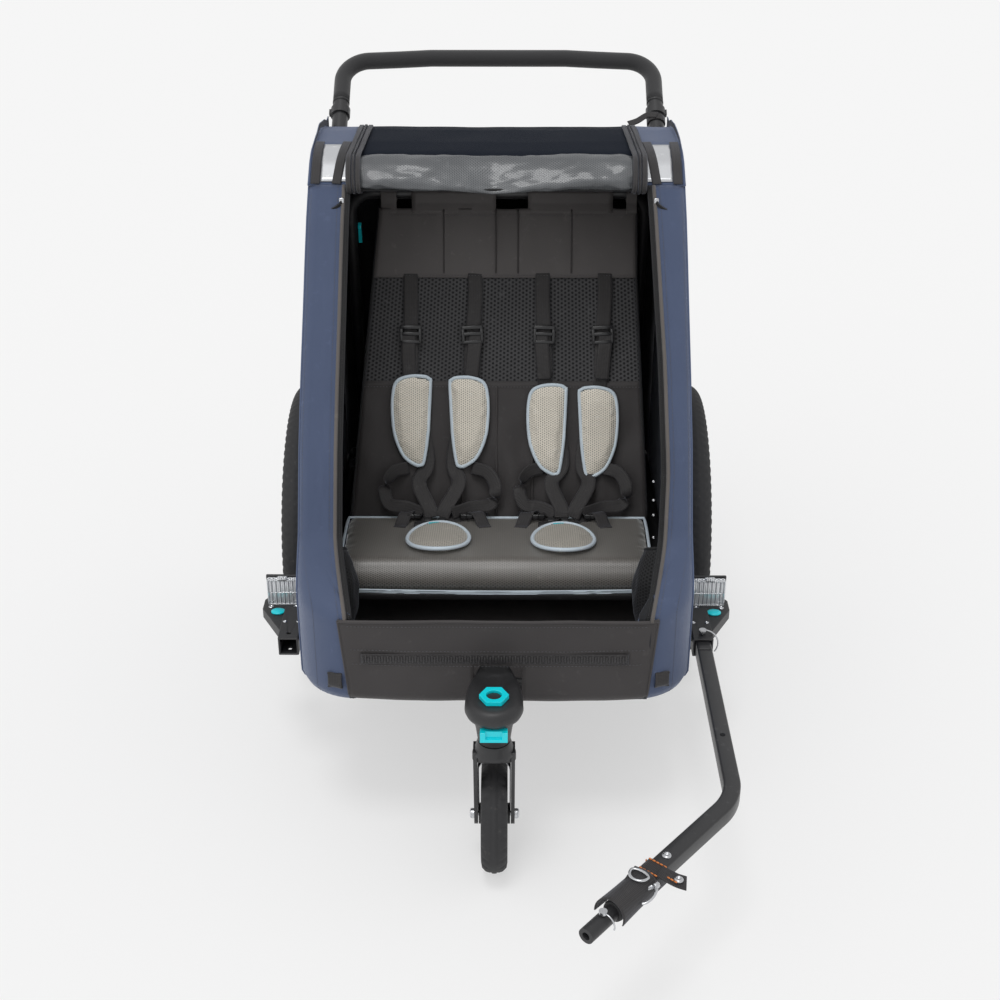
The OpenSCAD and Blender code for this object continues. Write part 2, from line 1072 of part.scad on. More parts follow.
base_frame();
fold_pivots();
floor_panel();
front_panel();
side_panel(1);  // side_panel_left
side_panel(-1);  // side_panel_right
rear_panel();
seat_front_bar();
seat_cushion();
seat_back();
harness_webbing();
harness_pads();
strap_adjusters();
buckles();
buckle_button(buckle_x);  // buckle_button_left
buckle_button(-buckle_x);  // buckle_button_right
roll_cage();
roof_panel();
rolled_cover();
wrist_strap();
handlebar();
foam_grip();
height_button(1);  // height_button_left
height_button(-1);  // height_button_right
seat_hoop();
fold_latch(1);  // fold_latch_left
fold_latch(-1);  // fold_latch_right
wheel_guard(1);  // wheel_guard_left
wheel_guard(-1);  // wheel_guard_right
guard_reflectors();
axle(1);  // axle_left
axle(-1);  // axle_right
axle_button(1);  // axle_button_left
axle_button(-1);  // axle_button_right
tyre(1);  // tyre_left
tyre(-1);  // tyre_right
rim(1);  // rim_left
rim(-1);  // rim_right
hub(1);  // hub_left
hub(-1);  // hub_right
brake_brackets();
brake_pedal();
brake_pin(1);  // brake_pin_left
brake_pin(-1);  // brake_pin_right
caster_housing();
caster_bush();
caster_latch();
caster_fork();
caster_axle();
caster_hub();
caster_tyre();
tow_arm();
arm_pin();
hitch_elastomer();
hitch_core();
hitch_plug();
hitch_pin();
safety_strap();
strap_hardware();
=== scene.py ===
"""Looks of a two-seat child bicycle trailer, built around its CAD frame."""
import math

import bmesh
import bpy
from mathutils import Matrix, Vector, noise


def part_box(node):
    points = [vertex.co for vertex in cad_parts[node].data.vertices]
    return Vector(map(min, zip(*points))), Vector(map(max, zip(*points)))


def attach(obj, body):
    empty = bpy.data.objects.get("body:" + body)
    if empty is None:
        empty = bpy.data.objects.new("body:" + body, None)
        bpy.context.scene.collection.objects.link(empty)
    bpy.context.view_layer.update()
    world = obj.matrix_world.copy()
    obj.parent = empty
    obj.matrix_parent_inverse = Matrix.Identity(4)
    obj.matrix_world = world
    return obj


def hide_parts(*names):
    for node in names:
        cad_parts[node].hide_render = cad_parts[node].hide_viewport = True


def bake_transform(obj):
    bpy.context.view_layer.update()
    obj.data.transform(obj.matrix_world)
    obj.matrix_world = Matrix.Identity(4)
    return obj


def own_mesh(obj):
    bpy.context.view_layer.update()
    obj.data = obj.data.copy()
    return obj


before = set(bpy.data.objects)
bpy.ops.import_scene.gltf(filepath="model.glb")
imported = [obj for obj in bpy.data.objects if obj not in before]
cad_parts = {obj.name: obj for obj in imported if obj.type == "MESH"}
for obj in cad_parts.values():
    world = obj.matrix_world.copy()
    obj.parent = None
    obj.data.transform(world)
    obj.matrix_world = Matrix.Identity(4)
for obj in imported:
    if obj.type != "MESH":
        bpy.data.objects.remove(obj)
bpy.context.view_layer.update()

# ---- places, in millimetres with y = 0 at the wheel axle and -y towards the bicycle ----

MM = 0.001
WHEEL_LOW, WHEEL_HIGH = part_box("tyre_left")
AXLE_Y = (WHEEL_LOW.y + WHEEL_HIGH.y) / 2
AXLE_Z = 250
WHEEL_X = 350
SIDE_X = 302.5
BODY_FLOOR = 268
NOSE_Y = -606
NOSE_HALF = 211
NOSE_RADIUS = 91.5
NOSE_TOP = 405
SEAM_HALF = 222
PANEL_TOP_HALF, PANEL_LOW_HALF = 233, 220
PANEL_LOW = 256
RAIL_Z, HEM_R = 275, 17
OPENING_HALF = 246
PANEL_SLANT = 11
LEFT_PULL = [(11, 0), (15, 60), (20, 150), (17, 300), (10, 450), (7, 515)]  # outwards, above the nose
ROOF_FRONT = (-112, 920)
ROOF_LINE = [(-112, 920), (-72, 948), (-45, 958), (0, 963), (80, 963), (140, 952), (172, 940)]
FRONT_EDGE = [
    (-514, 236), (-514, 335), (-505, 405), (-480, 463), (-408, 590), (-338, 678),
    (-268, 756), (-208, 826), (-160, 878), (-112, 920)]
REAR_LINE = [(225, 236), (227, 268), (229, 290), (229, 500), (221, 700), (203, 905)]
ROLL_Y, ROLL_Z, ROLL_HALF = -89, 935, 236
ROLL_LONG, ROLL_SHORT, ROLL_SLOPE = 37, 21, math.radians(25)
SEAT_REAR, SEAT_TILT, SEAT_HALF = (-195, 352), math.radians(11), 240
BACK_FOOT, BACK_LEAN = (-185, 345), math.radians(24)
STRAP_X = [(-149, -149), (-38, -46), (79, 84), (186, 180)]
BUCKLE_X = 105
CASTER_Y, CASTER_TRAIL, CASTER_R = -700, 37, 91
HANDLE_X, HANDLE_Y, HANDLE_Z, HANDLE_TILT = 284, 200, 930, math.radians(34.2)
HANDLE_REACH, HANDLE_CORNER, GRIP_RADIUS = 169, 50, 15
ARM_X, ARM_CURVE_Y, ARM_CURVE, ARM_TAIL = 337, -790, 100, 222
ARM_BEND = math.radians(40)


def at(x, y, z):
    """A point of the trailer in millimetres, as a point of the frame in metres."""
    return Vector((x * MM, y * MM + AXLE_Y, z * MM))


def on_seat(x, forward, up):
    """A point on the seat's slope: forward of its rear edge and up from its face."""
    y = SEAT_REAR[0] - forward * math.cos(SEAT_TILT) + up * math.sin(SEAT_TILT)
    z = SEAT_REAR[1] + forward * math.sin(SEAT_TILT) + up * math.cos(SEAT_TILT)
    return at(x, y, z)


def on_back(x, height, out):
    """A point on the seat back: height up its slope and out from its face."""
    y = BACK_FOOT[0] + height * math.sin(BACK_LEAN) - out * math.cos(BACK_LEAN)
    z = BACK_FOOT[1] + height * math.cos(BACK_LEAN) + out * math.sin(BACK_LEAN)
    return at(x, y, z)


def on_handle(x, reach):
    """A point on the push bar's sloping plane, reach up it from the foot of its sleeves."""
    return at(x, HANDLE_Y + reach * math.cos(HANDLE_TILT), HANDLE_Z + reach * math.sin(HANDLE_TILT))


def lerp(a, b, t):
    """The value a share t of the way from a to b."""
    return a + (b - a) * t


def smooth_step(t):
    """From 0 to 1 with soft ends."""
    t = min(1.0, max(0.0, t))
    return t * t * (3 - 2 * t)


def along(line, t):
    """The point a share t of the way along a line of 2-D points, by length."""
    lengths = [math.dist(a, b) for a, b in zip(line, line[1:])]
    left = t * sum(lengths)
    for a, b, length in zip(line, line[1:], lengths):
        if left <= length:
            return lerp(a[0], b[0], left / length), lerp(a[1], b[1], left / length)
        left -= length
    return line[-1]


def height_on(line, y):
    """The z of a line of [y, z] points at y."""
    for a, b in zip(line, line[1:]):
        if a[0] <= y <= b[0]:
            return lerp(a[1], b[1], (y - a[0]) / (b[0] - a[0]))
    return line[0][1] if y < line[0][0] else line[-1][1]


def y_on(line, z):
    """The y of a line of [y, z] points at z."""
    for a, b in zip(line, line[1:]):
        if a[1] <= z <= b[1]:
            return lerp(a[0], b[0], (z - a[1]) / (b[1] - a[1]))
    return line[0][0] if z < line[0][1] else line[-1][0]


def ripple(x, y, z, size, seed=0.0):
    """A smooth wrinkle from -1 to 1, size millimetres across."""
    return noise.noise(Vector((x / size + seed, y / size - seed, z / size + 2 * seed)))


def smooth_path(points, steps=8):
    """A rounder line through the given points."""
    ends = [points[0] * 2 - points[1], *points, points[-1] * 2 - points[-2]]
    path = []
    for a, b, c, d in zip(ends, ends[1:], ends[2:], ends[3:]):
        for i in range(steps):
            t = i / steps
            path.append(0.5 * (2 * b + (c - a) * t + (2 * a - 5 * b + 4 * c - d) * t ** 2
                               + (3 * b - a - 3 * c + d) * t ** 3))
    return path + [points[-1]]


# ---- shader groups and finishes ----

def join_nodes(tree, operation, *values):
    """A math node whose inputs are sockets or numbers."""
    node = tree.nodes.new("ShaderNodeMath")
    node.operation = operation
    for socket, value in zip(node.inputs, values):
        if isinstance(value, (int, float)):
            socket.default_value = value
        else:
            tree.links.new(value, socket)
    return node.outputs[0]


def new_group(name, numbers, outputs):
    """A shader group with a Vector input, named number inputs and number outputs."""
    tree = bpy.data.node_groups.new(name, "ShaderNodeTree")
    tree.interface.new_socket("Vector", in_out="INPUT", socket_type="NodeSocketVector")
    for label, value in numbers.items():
        made = tree.interface.new_socket(label, in_out="INPUT", socket_type="NodeSocketFloat")
        made.default_value = value
    for label in outputs:
        tree.interface.new_socket(label, in_out="OUTPUT", socket_type="NodeSocketFloat")
    return tree, tree.nodes.new("NodeGroupInput").outputs, tree.nodes.new("NodeGroupOutput").inputs


def wave_along(tree, vector, direction, pitch):
    """A cosine that repeats every pitch metres along a direction."""
    dot = tree.nodes.new("ShaderNodeVectorMath")
    dot.operation = "DOT_PRODUCT"
    tree.links.new(vector, dot.inputs[0])
    dot.inputs[1].default_value = direction
    turns = join_nodes(tree, "DIVIDE", dot.outputs["Value"], pitch)
    return join_nodes(tree, "COSINE", join_nodes(tree, "MULTIPLY", turns, math.tau))


def make_woven():
    """Over and under threads, for plain woven cloth."""
    tree, given, out = new_group("woven threads", {"Pitch": 0.0012}, ["Height", "Shade"])
    across = wave_along(tree, given["Vector"], (1, 0, 0), given["Pitch"])
    down = wave_along(tree, given["Vector"], (0, 1, 0), given["Pitch"])
    height = join_nodes(tree, "MULTIPLY_ADD", join_nodes(tree, "MULTIPLY", across, down), 0.5, 0.5)
    tree.links.new(height, out["Height"])
    tree.links.new(join_nodes(tree, "MULTIPLY_ADD", height, 0.5, 0.5), out["Shade"])
    return tree


def make_spacer_mesh():
    """Rows of round holes in a knitted mesh, each six holes away from its neighbours."""
    numbers = {"Pitch": 0.004, "Hole size": 0.3}
    tree, given, out = new_group("spacer mesh holes", numbers, ["Height", "Shade"])
    waves = [wave_along(tree, given["Vector"], (math.cos(a), math.sin(a), 0), given["Pitch"])
             for a in (0, math.tau / 6, math.tau / 3)]
    total = join_nodes(tree, "ADD", join_nodes(tree, "ADD", waves[0], waves[1]), waves[2])
    level = join_nodes(tree, "MULTIPLY_ADD", total, 0.222, 0.333)
    edge = join_nodes(tree, "SUBTRACT", join_nodes(tree, "SUBTRACT", 1.0, level), given["Hole size"])
    solid = join_nodes(tree, "MULTIPLY", edge, 3.0)
    tree.links.new(level, out["Height"])
    node = tree.nodes.new("ShaderNodeClamp")
    tree.links.new(solid, node.inputs["Value"])
    tree.links.new(node.outputs[0], out["Shade"])
    return tree


def make_ribs():
    """Close ribs across a strap."""
    tree, given, out = new_group("strap ribs", {"Pitch": 0.002}, ["Height", "Shade"])
    rib = wave_along(tree, given["Vector"], (0, 1, 0), given["Pitch"])
    rows = wave_along(tree, given["Vector"], (1, 0, 0), 0.0042)
    height = join_nodes(tree, "MULTIPLY_ADD", join_nodes(tree, "MULTIPLY_ADD", rows, 0.35, rib), 0.37, 0.5)
    tree.links.new(height, out["Height"])
    tree.links.new(join_nodes(tree, "MULTIPLY_ADD", height, 0.6, 0.4), out["Shade"])
    return tree


def make_grain():
    """The fine cloudy grain of moulded plastic, foam, rubber or powder coat."""
    tree, given, out = new_group("fine grain", {"Pitch": 0.002}, ["Height", "Shade"])
    texture = tree.nodes.new("ShaderNodeTexNoise")
    tree.links.new(given["Vector"], texture.inputs["Vector"])
    tree.links.new(join_nodes(tree, "DIVIDE", 1.0, given["Pitch"]), texture.inputs["Scale"])
    texture.inputs["Detail"].default_value = 3
    tree.links.new(texture.outputs["Fac"], out["Height"])
    tree.links.new(join_nodes(tree, "MULTIPLY_ADD", texture.outputs["Fac"], 0.5, 0.5), out["Shade"])
    return tree


def make_use():
    """Slow colour drift, dust and scuffs, as a cloudy mask."""
    tree, given, out = new_group("dust and scuffs", {"Size": 0.12, "Amount": 0.5}, ["Shade", "Scuff"])
    drift = tree.nodes.new("ShaderNodeTexNoise")
    tree.links.new(given["Vector"], drift.inputs["Vector"])
    tree.links.new(join_nodes(tree, "DIVIDE", 1.0, given["Size"]), drift.inputs["Scale"])
    drift.inputs["Detail"].default_value = 4
    spread = join_nodes(tree, "MULTIPLY", join_nodes(tree, "SUBTRACT", drift.outputs["Fac"], 0.5),
                        given["Amount"])
    tree.links.new(join_nodes(tree, "ADD", spread, 0.75), out["Shade"])
    marks = tree.nodes.new("ShaderNodeTexNoise")
    tree.links.new(given["Vector"], marks.inputs["Vector"])
    marks.inputs["Scale"].default_value = 55
    marks.inputs["Detail"].default_value = 6
    marks.inputs["Roughness"].default_value = 0.7
    raised = join_nodes(tree, "MULTIPLY", join_nodes(tree, "SUBTRACT", marks.outputs["Fac"], 0.6), 7.0)
    clamp = tree.nodes.new("ShaderNodeClamp")
    tree.links.new(join_nodes(tree, "MULTIPLY", raised, given["Amount"]), clamp.inputs["Value"])
    tree.links.new(clamp.outputs[0], out["Scuff"])
    return tree


WOVEN, SPACER_MESH, RIBS, GRAIN, USE = (
    make_woven(), make_spacer_mesh(), make_ribs(), make_grain(), make_use())


def blend_colours(tree, share, low, high):
    """A mix of two colours or colour sockets by a share socket."""
    node = tree.nodes.new("ShaderNodeMix")
    node.data_type = "RGBA"
    tree.links.new(share, node.inputs["Factor"])
    for socket, value in ((node.inputs[6], low), (node.inputs[7], high)):
        if isinstance(value, tuple):
            socket.default_value = (*value, 1)
        else:
            tree.links.new(value, socket)
    return node.outputs[2]


def finish_of(name, light, dark, roughness, pattern=GRAIN, pitch=0.002, depth=0.0002, cut=False,
              turn=0.0, drift=0.12, use=0.5, worn=None, plain=None, hole=None):
    """A material: a pattern between two colours, slow drift, scuffs, and the pattern's relief.

    cut follows the piece's own cut cloth, or else the pattern lies in space, turned about x."""
    made = bpy.data.materials.new(name)
    made.use_nodes = True
    tree = made.node_tree
    shader = tree.nodes["Principled BSDF"]
    for label, value in (plain or {}).items():
        shader.inputs[label].default_value = value
    space = tree.nodes.new("ShaderNodeTexCoord")
    place = space.outputs["Object"]
    if cut:
        cloth = tree.nodes.new("ShaderNodeUVMap")
        cloth.uv_map = "cut"
        place = cloth.outputs["UV"]
    elif turn:
        turned = tree.nodes.new("ShaderNodeMapping")
        turned.inputs["Rotation"].default_value = (turn, 0, 0)
        tree.links.new(place, turned.inputs["Vector"])
        place = turned.outputs["Vector"]
    fine = tree.nodes.new("ShaderNodeGroup")
    fine.node_tree = pattern
    fine.inputs["Pitch"].default_value = pitch
    if hole is not None:
        fine.inputs["Hole size"].default_value = hole
    tree.links.new(place, fine.inputs["Vector"])
    wear = tree.nodes.new("ShaderNodeGroup")
    wear.node_tree = USE
    wear.inputs["Size"].default_value = drift
    wear.inputs["Amount"].default_value = use
    tree.links.new(space.outputs["Object"], wear.inputs["Vector"])
    shade = join_nodes(tree, "MULTIPLY", fine.outputs["Shade"], wear.outputs["Shade"])
    colour = blend_colours(tree, shade, dark, light)
    scuffed = worn or tuple(min(1, c * 1.35 + 0.012) for c in light)
    tree.links.new(blend_colours(tree, wear.outputs["Scuff"], colour, scuffed), shader.inputs["Base Color"])
    rough = join_nodes(tree, "MULTIPLY_ADD", wear.outputs["Shade"], -0.12, roughness + 0.09)
    tree.links.new(join_nodes(tree, "ADD", rough, join_nodes(tree, "MULTIPLY", wear.outputs["Scuff"], 0.1)),
                   shader.inputs["Roughness"])
    relief = tree.nodes.new("ShaderNodeBump")
    relief.inputs["Distance"].default_value = depth
    tree.links.new(fine.outputs["Height"], relief.inputs["Height"])
    tree.links.new(relief.outputs["Normal"], shader.inputs["Normal"])
    return made


def cloth_sheen(amount, roughness=0.4, tint=(0.8, 0.85, 1.0)):
    """Shader settings for the soft light along a cloth's edges."""
    return {"Sheen Weight": amount, "Sheen Roughness": roughness, "Sheen Tint": (*tint, 1),
            "Specular IOR Level": 0.3}


METAL = {"Metallic": 1.0}
navy = finish_of("navy woven polyester", (0.08, 0.108, 0.19), (0.04, 0.056, 0.105), 0.62, WOVEN, 0.0011,
                 0.00012, cut=True, use=0.4, plain=cloth_sheen(0.35))
night = finish_of("dark navy roof cloth", (0.009, 0.013, 0.023), (0.004, 0.006, 0.011), 0.7, WOVEN, 0.0011,
                  0.00012, cut=True, use=0.3, worn=(0.012, 0.015, 0.022),
                  plain={"Specular IOR Level": 0.1})
charcoal = finish_of("charcoal woven polyester", (0.06, 0.055, 0.055), (0.024, 0.022, 0.023), 0.6, WOVEN,
                     0.0012, 0.00012, cut=True, use=0.4, plain=cloth_sheen(0.12, tint=(1, 0.97, 0.95)))
# The same charcoal cloth painted about twice as light, as if lit, for the upper seat back and the crossbar
# sleeves.
painted_lit_charcoal = finish_of("charcoal polyester painted lit", (0.125, 0.115, 0.113), (0.05, 0.046, 0.046), 0.55,
                              WOVEN, 0.0012, 0.00012, cut=True, use=0.4,
                              plain=cloth_sheen(0.3, tint=(1, 0.97, 0.95)))
lining = finish_of("black mesh lining", (0.022, 0.023, 0.026), (0.004, 0.004, 0.005), 0.75, SPACER_MESH,
                   0.0032, 0.0002, cut=True, plain=cloth_sheen(0.15))
back_mesh = finish_of("large hole mesh", (0.075, 0.074, 0.077), (0.006, 0.006, 0.007), 0.7, SPACER_MESH,
                      0.0062, 0.0008, cut=True, hole=0.36, plain=cloth_sheen(0.3))
pocket_mesh = finish_of("pocket mesh", (0.03, 0.03, 0.032), (0.004, 0.004, 0.004), 0.7, SPACER_MESH,
                        0.0045, 0.0006, cut=True, hole=0.4, plain=cloth_sheen(0.2))
seat_mesh = finish_of("grey brown spacer mesh", (0.19, 0.178, 0.163), (0.055, 0.052, 0.049), 0.36,
                      SPACER_MESH, 0.0036, 0.0005, cut=True, hole=0.3,
                      plain={**cloth_sheen(1.0, 0.3, (1, 0.98, 0.94)), "Coat Weight": 0.9,
                             "Coat Roughness": 0.36})
# The shoulder pads' mesh: the lap pads' cloth painted about twice as light, as if lit.
painted_lit_pad_mesh = finish_of("beige grey pad mesh painted lit", (0.92, 0.86, 0.75), (0.32, 0.3, 0.26), 0.75, SPACER_MESH,
                     0.0036, 0.0005, turn=BACK_LEAN - math.pi / 2, hole=0.3,
                     plain=cloth_sheen(0.4, 0.5, (1, 0.98, 0.92)))
lap_mesh = finish_of("beige grey lap pad mesh", (0.46, 0.43, 0.38), (0.13, 0.12, 0.105), 0.75, SPACER_MESH,
                     0.0036, 0.0005, turn=SEAT_TILT, hole=0.3, plain=cloth_sheen(0.4, 0.5, (1, 0.98, 0.92)))
pale_binding = finish_of("pale blue binding", (0.7, 0.79, 0.86), (0.42, 0.5, 0.56), 0.7, WOVEN, 0.0012,
                         0.0001, plain=cloth_sheen(0.4))
brown_binding = finish_of("grey brown binding", (0.15, 0.135, 0.125), (0.06, 0.055, 0.05), 0.7, WOVEN,
                          0.0012, 0.0001, plain=cloth_sheen(0.3))
webbing = finish_of("black webbing", (0.05, 0.047, 0.047), (0.014, 0.013, 0.014), 0.55, RIBS, 0.0021,
                    0.0004, cut=True, plain=cloth_sheen(0.2))
zip_tape = finish_of("black zip tape", (0.018, 0.018, 0.019), (0.006, 0.006, 0.006), 0.7, WOVEN, 0.001,
                     0.0001, plain=cloth_sheen(0.2))
thread = finish_of("grey thread", (0.12, 0.12, 0.13), (0.05, 0.05, 0.055), 0.7, GRAIN, 0.001, 0.0001)
orange_thread = finish_of("orange thread", (0.75, 0.25, 0.06), (0.5, 0.14, 0.03), 0.6, GRAIN, 0.001, 0.0001)
clear_film = finish_of("rolled clear film", (0.115, 0.122, 0.13), (0.03, 0.032, 0.036), 0.34, SPACER_MESH,
                       0.0028, 0.0003, cut=True, hole=0.25, use=0.5, drift=0.05,
                       plain={"Coat Weight": 0.32, "Coat Roughness": 0.13})
silver_cloth = finish_of("silver reflective cloth", (0.72, 0.73, 0.75), (0.4, 0.41, 0.43), 0.32, GRAIN,
                         0.0015, 0.0001, plain={"Metallic": 0.55})
powder_coat = finish_of("black powder coat", (0.028, 0.028, 0.03), (0.01, 0.01, 0.011), 0.42, GRAIN, 0.0009,
                        0.00008, worn=(0.12, 0.12, 0.125), use=0.35, plain={"Coat Weight": 0.15})
steel = finish_of("zinc plated steel", (0.72, 0.73, 0.75), (0.42, 0.43, 0.45), 0.26, GRAIN, 0.003, 0.00005,
                  use=0.5, plain=METAL)
alloy = finish_of("satin alloy", (0.6, 0.61, 0.63), (0.35, 0.355, 0.37), 0.36, GRAIN, 0.002, 0.00005,
                  use=0.4, plain=METAL)
gloss_plastic = finish_of("black glossy plastic", (0.03, 0.03, 0.032), (0.014, 0.014, 0.015), 0.18, GRAIN,
                          0.0007, 0.00006, worn=(0.09, 0.09, 0.095), use=0.3)
black_plastic = finish_of("black moulded plastic", (0.03, 0.03, 0.032), (0.012, 0.012, 0.013), 0.45, GRAIN,
                          0.0007, 0.00012, worn=(0.09, 0.09, 0.095), use=0.4)
teal_plastic = finish_of("teal plastic", (0.0, 0.76, 0.86), (0.0, 0.52, 0.6), 0.3, GRAIN, 0.002, 0.00004,
                         worn=(0.05, 0.74, 0.8), use=0.3, plain={"Coat Weight": 0.4})
tread_rubber = finish_of("tyre rubber", (0.032, 0.032, 0.034), (0.014, 0.014, 0.015), 0.78, GRAIN, 0.0015,
                         0.00015, worn=(0.1, 0.095, 0.09), use=0.5)
foam = finish_of("charcoal foam", (0.036, 0.036, 0.038), (0.016, 0.016, 0.017), 0.88, GRAIN, 0.0008,
                 0.0003, use=0.3, plain={"Sheen Weight": 0.25})
prism = finish_of("clear prism", (0.8, 0.82, 0.84), (0.28, 0.29, 0.31), 0.12, SPACER_MESH, 0.0035, 0.0012,
                  hole=0.1, use=0.3, plain={"Coat Weight": 1.0, "Metallic": 0.35})


# ---- mesh helpers ----

def new_piece(name, points, faces, finishes, cuts=None, smooth=True):
    """A new mesh object with its finishes and, where given, its cut cloth."""
    mesh = bpy.data.meshes.new(name)
    mesh.from_pydata([tuple(p) for p in points], [], faces)
    for finish in finishes if isinstance(finishes, list) else [finishes]:
        mesh.materials.append(finish)
    mesh.polygons.foreach_set("use_smooth", [smooth] * len(mesh.polygons))
    if cuts:
        layer = mesh.uv_layers.new(name="cut")
        for loop in mesh.loops:
            layer.data[loop.index].uv = cuts[loop.vertex_index]
    piece = bpy.data.objects.new(name, mesh)
    bpy.context.scene.collection.objects.link(piece)
    return piece


def outward(piece):
    """Turns every face outwards."""
    shape = bmesh.new()
    shape.from_mesh(piece.data)
    bmesh.ops.recalc_face_normals(shape, faces=shape.faces)
    shape.to_mesh(piece.data)
    shape.free()
    return piece


def row_lengths(rows):
    """The mean length of a grid's rows, and of its columns."""
    width = sum((b - a).length for row in rows for a, b in zip(row, row[1:])) / len(rows)
    columns = list(zip(*rows))
    length = sum((b - a).length for c in columns for a, b in zip(c, c[1:])) / len(columns)
    return width, length


def cloth_sheet(name, place, columns, rows, finish, thick=1.4, inside=None,
                skip=None):
    """A sewn sheet: place(u, v) gives its points for u and v from 0 to 1."""
    grid = [[place(i / columns, j / rows) for i in range(columns + 1)] for j in range(rows + 1)]
    width, length = row_lengths(grid)
    wide = columns + 1
    faces = [(j * wide + i, j * wide + i + 1, (j + 1) * wide + i + 1, (j + 1) * wide + i)
             for j in range(rows) for i in range(columns)
             if not (skip and skip((i + 0.5) / columns, (j + 0.5) / rows))]
    cuts = [(i / columns * width, j / rows * length) for j in range(rows + 1) for i in range(wide)]
    piece = new_piece(name, [p for row in grid for p in row], faces, [finish, inside or finish], cuts)
    shape = bmesh.new()
    shape.from_mesh(piece.data)
    bmesh.ops.delete(shape, geom=[v for v in shape.verts if not v.link_faces], context="VERTS")
    area = sum(f.calc_area() for f in shape.faces)
    shape.to_mesh(piece.data)
    shape.free()
    shell = piece.modifiers.new("thickness", "SOLIDIFY")
    shell.thickness = thick * MM
    shell.offset = 0
    shell.material_offset = 1
    shell.use_even_offset = False
    return piece


def ring_faces(rings, size, closed=False):
    """Faces that join one ring of points to the next, with both ends capped unless closed."""
    faces = [(i * size + k, i * size + (k + 1) % size,
              (i + 1) % rings * size + (k + 1) % size, (i + 1) % rings * size + k)
             for i in range(rings if closed else rings - 1) for k in range(size)]
    if not closed:
        faces += [tuple(range(size)), tuple(range((rings - 1) * size, rings * size))]
    return faces


def swept(name, path, ring, finish, closed=False, across=None, cut=False):
    """A solid swept along a path: ring is its cross-section, as (sideways, upwards) in metres."""
    count = len(path)
    points, cuts, travelled = [], [], 0.0
    side = across
    for i, centre in enumerate(path):
        before = path[i - 1] if i or closed else path[0]
        after = path[(i + 1) % count] if i + 1 < count or closed else path[-1]
        forward = (after - before).normalized()
        if side is None:
            side = forward.orthogonal()
        side = ((across or side) - forward * forward.dot(across or side)).normalized()
        up = forward.cross(side)
        points += [centre + side * a + up * b for a, b in ring]
        cuts += [(a + b, travelled) for a, b in ring]
        travelled += (after - centre).length
    faces = ring_faces(count, len(ring), closed)
    return outward(new_piece(name, points, faces, finish, cuts if cut else None))


def tube(name, path, radius, finish, closed=False, sides=10):
    """A round tube or piping along a path."""
    ring = [(radius * MM * math.cos(k * math.tau / sides), radius * MM * math.sin(k * math.tau / sides))
            for k in range(sides)]
    return swept(name, path, ring, finish, closed)


def strap(name, path, across, width, finish=None, thick=1.8, closed=False):
    """A flat webbing strap with rounded edges, lying across the given direction."""
    half, rise = width * MM / 2, thick * MM / 2
    ring = [(-half, 0), (-half + rise, rise)] + [(half * k / 3, rise) for k in (-2, -1, 0, 1, 2)]
    ring += [(half - rise, rise), (half, 0), (half - rise, -rise)]
    ring += [(half * k / 3, -rise) for k in (2, 1, 0, -1, -2)] + [(-half + rise, -rise)]
    return swept(name, path, ring, finish or webbing, closed, Vector(across), cut=True)


def rounded_block(name, centre, size, finish, turn=None, edge=1.5, segments=2, taper=1.0):
    """A moulded block with rounded edges; taper narrows its top."""
    shape = bmesh.new()
    bmesh.ops.create_cube(shape, size=1)
    for v in shape.verts:
        narrow = taper if v.co.z > 0 else 1
        v.co = Vector((v.co.x * size[0] * narrow, v.co.y * size[1] * narrow, v.co.z * size[2])) * MM
    bmesh.ops.bevel(shape, geom=shape.edges[:], offset=edge * MM, segments=segments, affect="EDGES",
                    profile=0.5)
    shape.transform(Matrix.Translation(centre) @ (turn or Matrix()).to_4x4())
    mesh = bpy.data.meshes.new(name)
    shape.to_mesh(mesh)
    shape.free()
    mesh.materials.append(finish)
    mesh.polygons.foreach_set("use_smooth", [True] * len(mesh.polygons))
    piece = bpy.data.objects.new(name, mesh)
    bpy.context.scene.collection.objects.link(piece)
    return piece


def turned(name, profile, centre, turn, finish, sides=32):
    """A turned part: profile is a line of (radius, height) in millimetres, about local z."""
    points = [centre + turn @ Vector((r * math.cos(k * math.tau / sides), r * math.sin(k * math.tau / sides),
                                      h)) * MM for r, h in profile for k in range(sides)]
    return outward(new_piece(name, points, ring_faces(len(profile), sides), finish))


def screw_head(name, centre, turn, finish, radius=5.0, height=2.2):
    """A domed head with a recessed socket."""
    profile = [(radius, -0.5), (radius, height * 0.4), (radius * 0.85, height * 0.8),
               (radius * 0.55, height), (radius * 0.5, height), (radius * 0.45, height * 0.3),
               (0.05, height * 0.3)]
    return turned(name, profile, centre, turn, finish, 24)


def joined(name, parts):
    """One piece out of several."""
    parts[0].name = name
    if len(parts) > 1:
        with bpy.context.temp_override(active_object=parts[0], selected_editable_objects=parts):
            bpy.ops.object.join()
    parts[0].data.name = name
    return parts[0]


def stitches(name, path, finish=None, length=3.2, gap=2.2, radius=0.45):
    """A row of sewn stitches along a path, each a short rounded bar."""
    finish = finish or thread
    points, faces = [], []
    travelled, step = 0.0, (length + gap) * MM
    marks = []
    for a, b in zip(path, path[1:]):
        span = (b - a).length
        while travelled <= span and span > 0:
            marks.append((a.lerp(b, travelled / span), (b - a) / span))
            travelled += step
        travelled -= span
    for centre, forward in marks:
        side = forward.orthogonal().normalized()
        up = forward.cross(side)
        first = len(points)
        for share, swell in ((-0.5, 0.5), (-0.25, 1), (0.25, 1), (0.5, 0.5)):
            middle = centre + forward * share * length * MM
            points += [middle + (side * math.cos(a) + up * math.sin(a)) * radius * swell * MM
                       for a in (0, math.pi / 2, math.pi, 3 * math.pi / 2)]
        for j in range(3):
            faces += [(first + j * 4 + k, first + j * 4 + (k + 1) % 4, first + j * 4 + 4 + (k + 1) % 4,
                       first + j * 4 + 4 + k) for k in range(4)]
        faces += [tuple(first + k for k in range(4)), tuple(first + 12 + k for k in range(4))]
    return outward(new_piece(name, points, faces, finish))


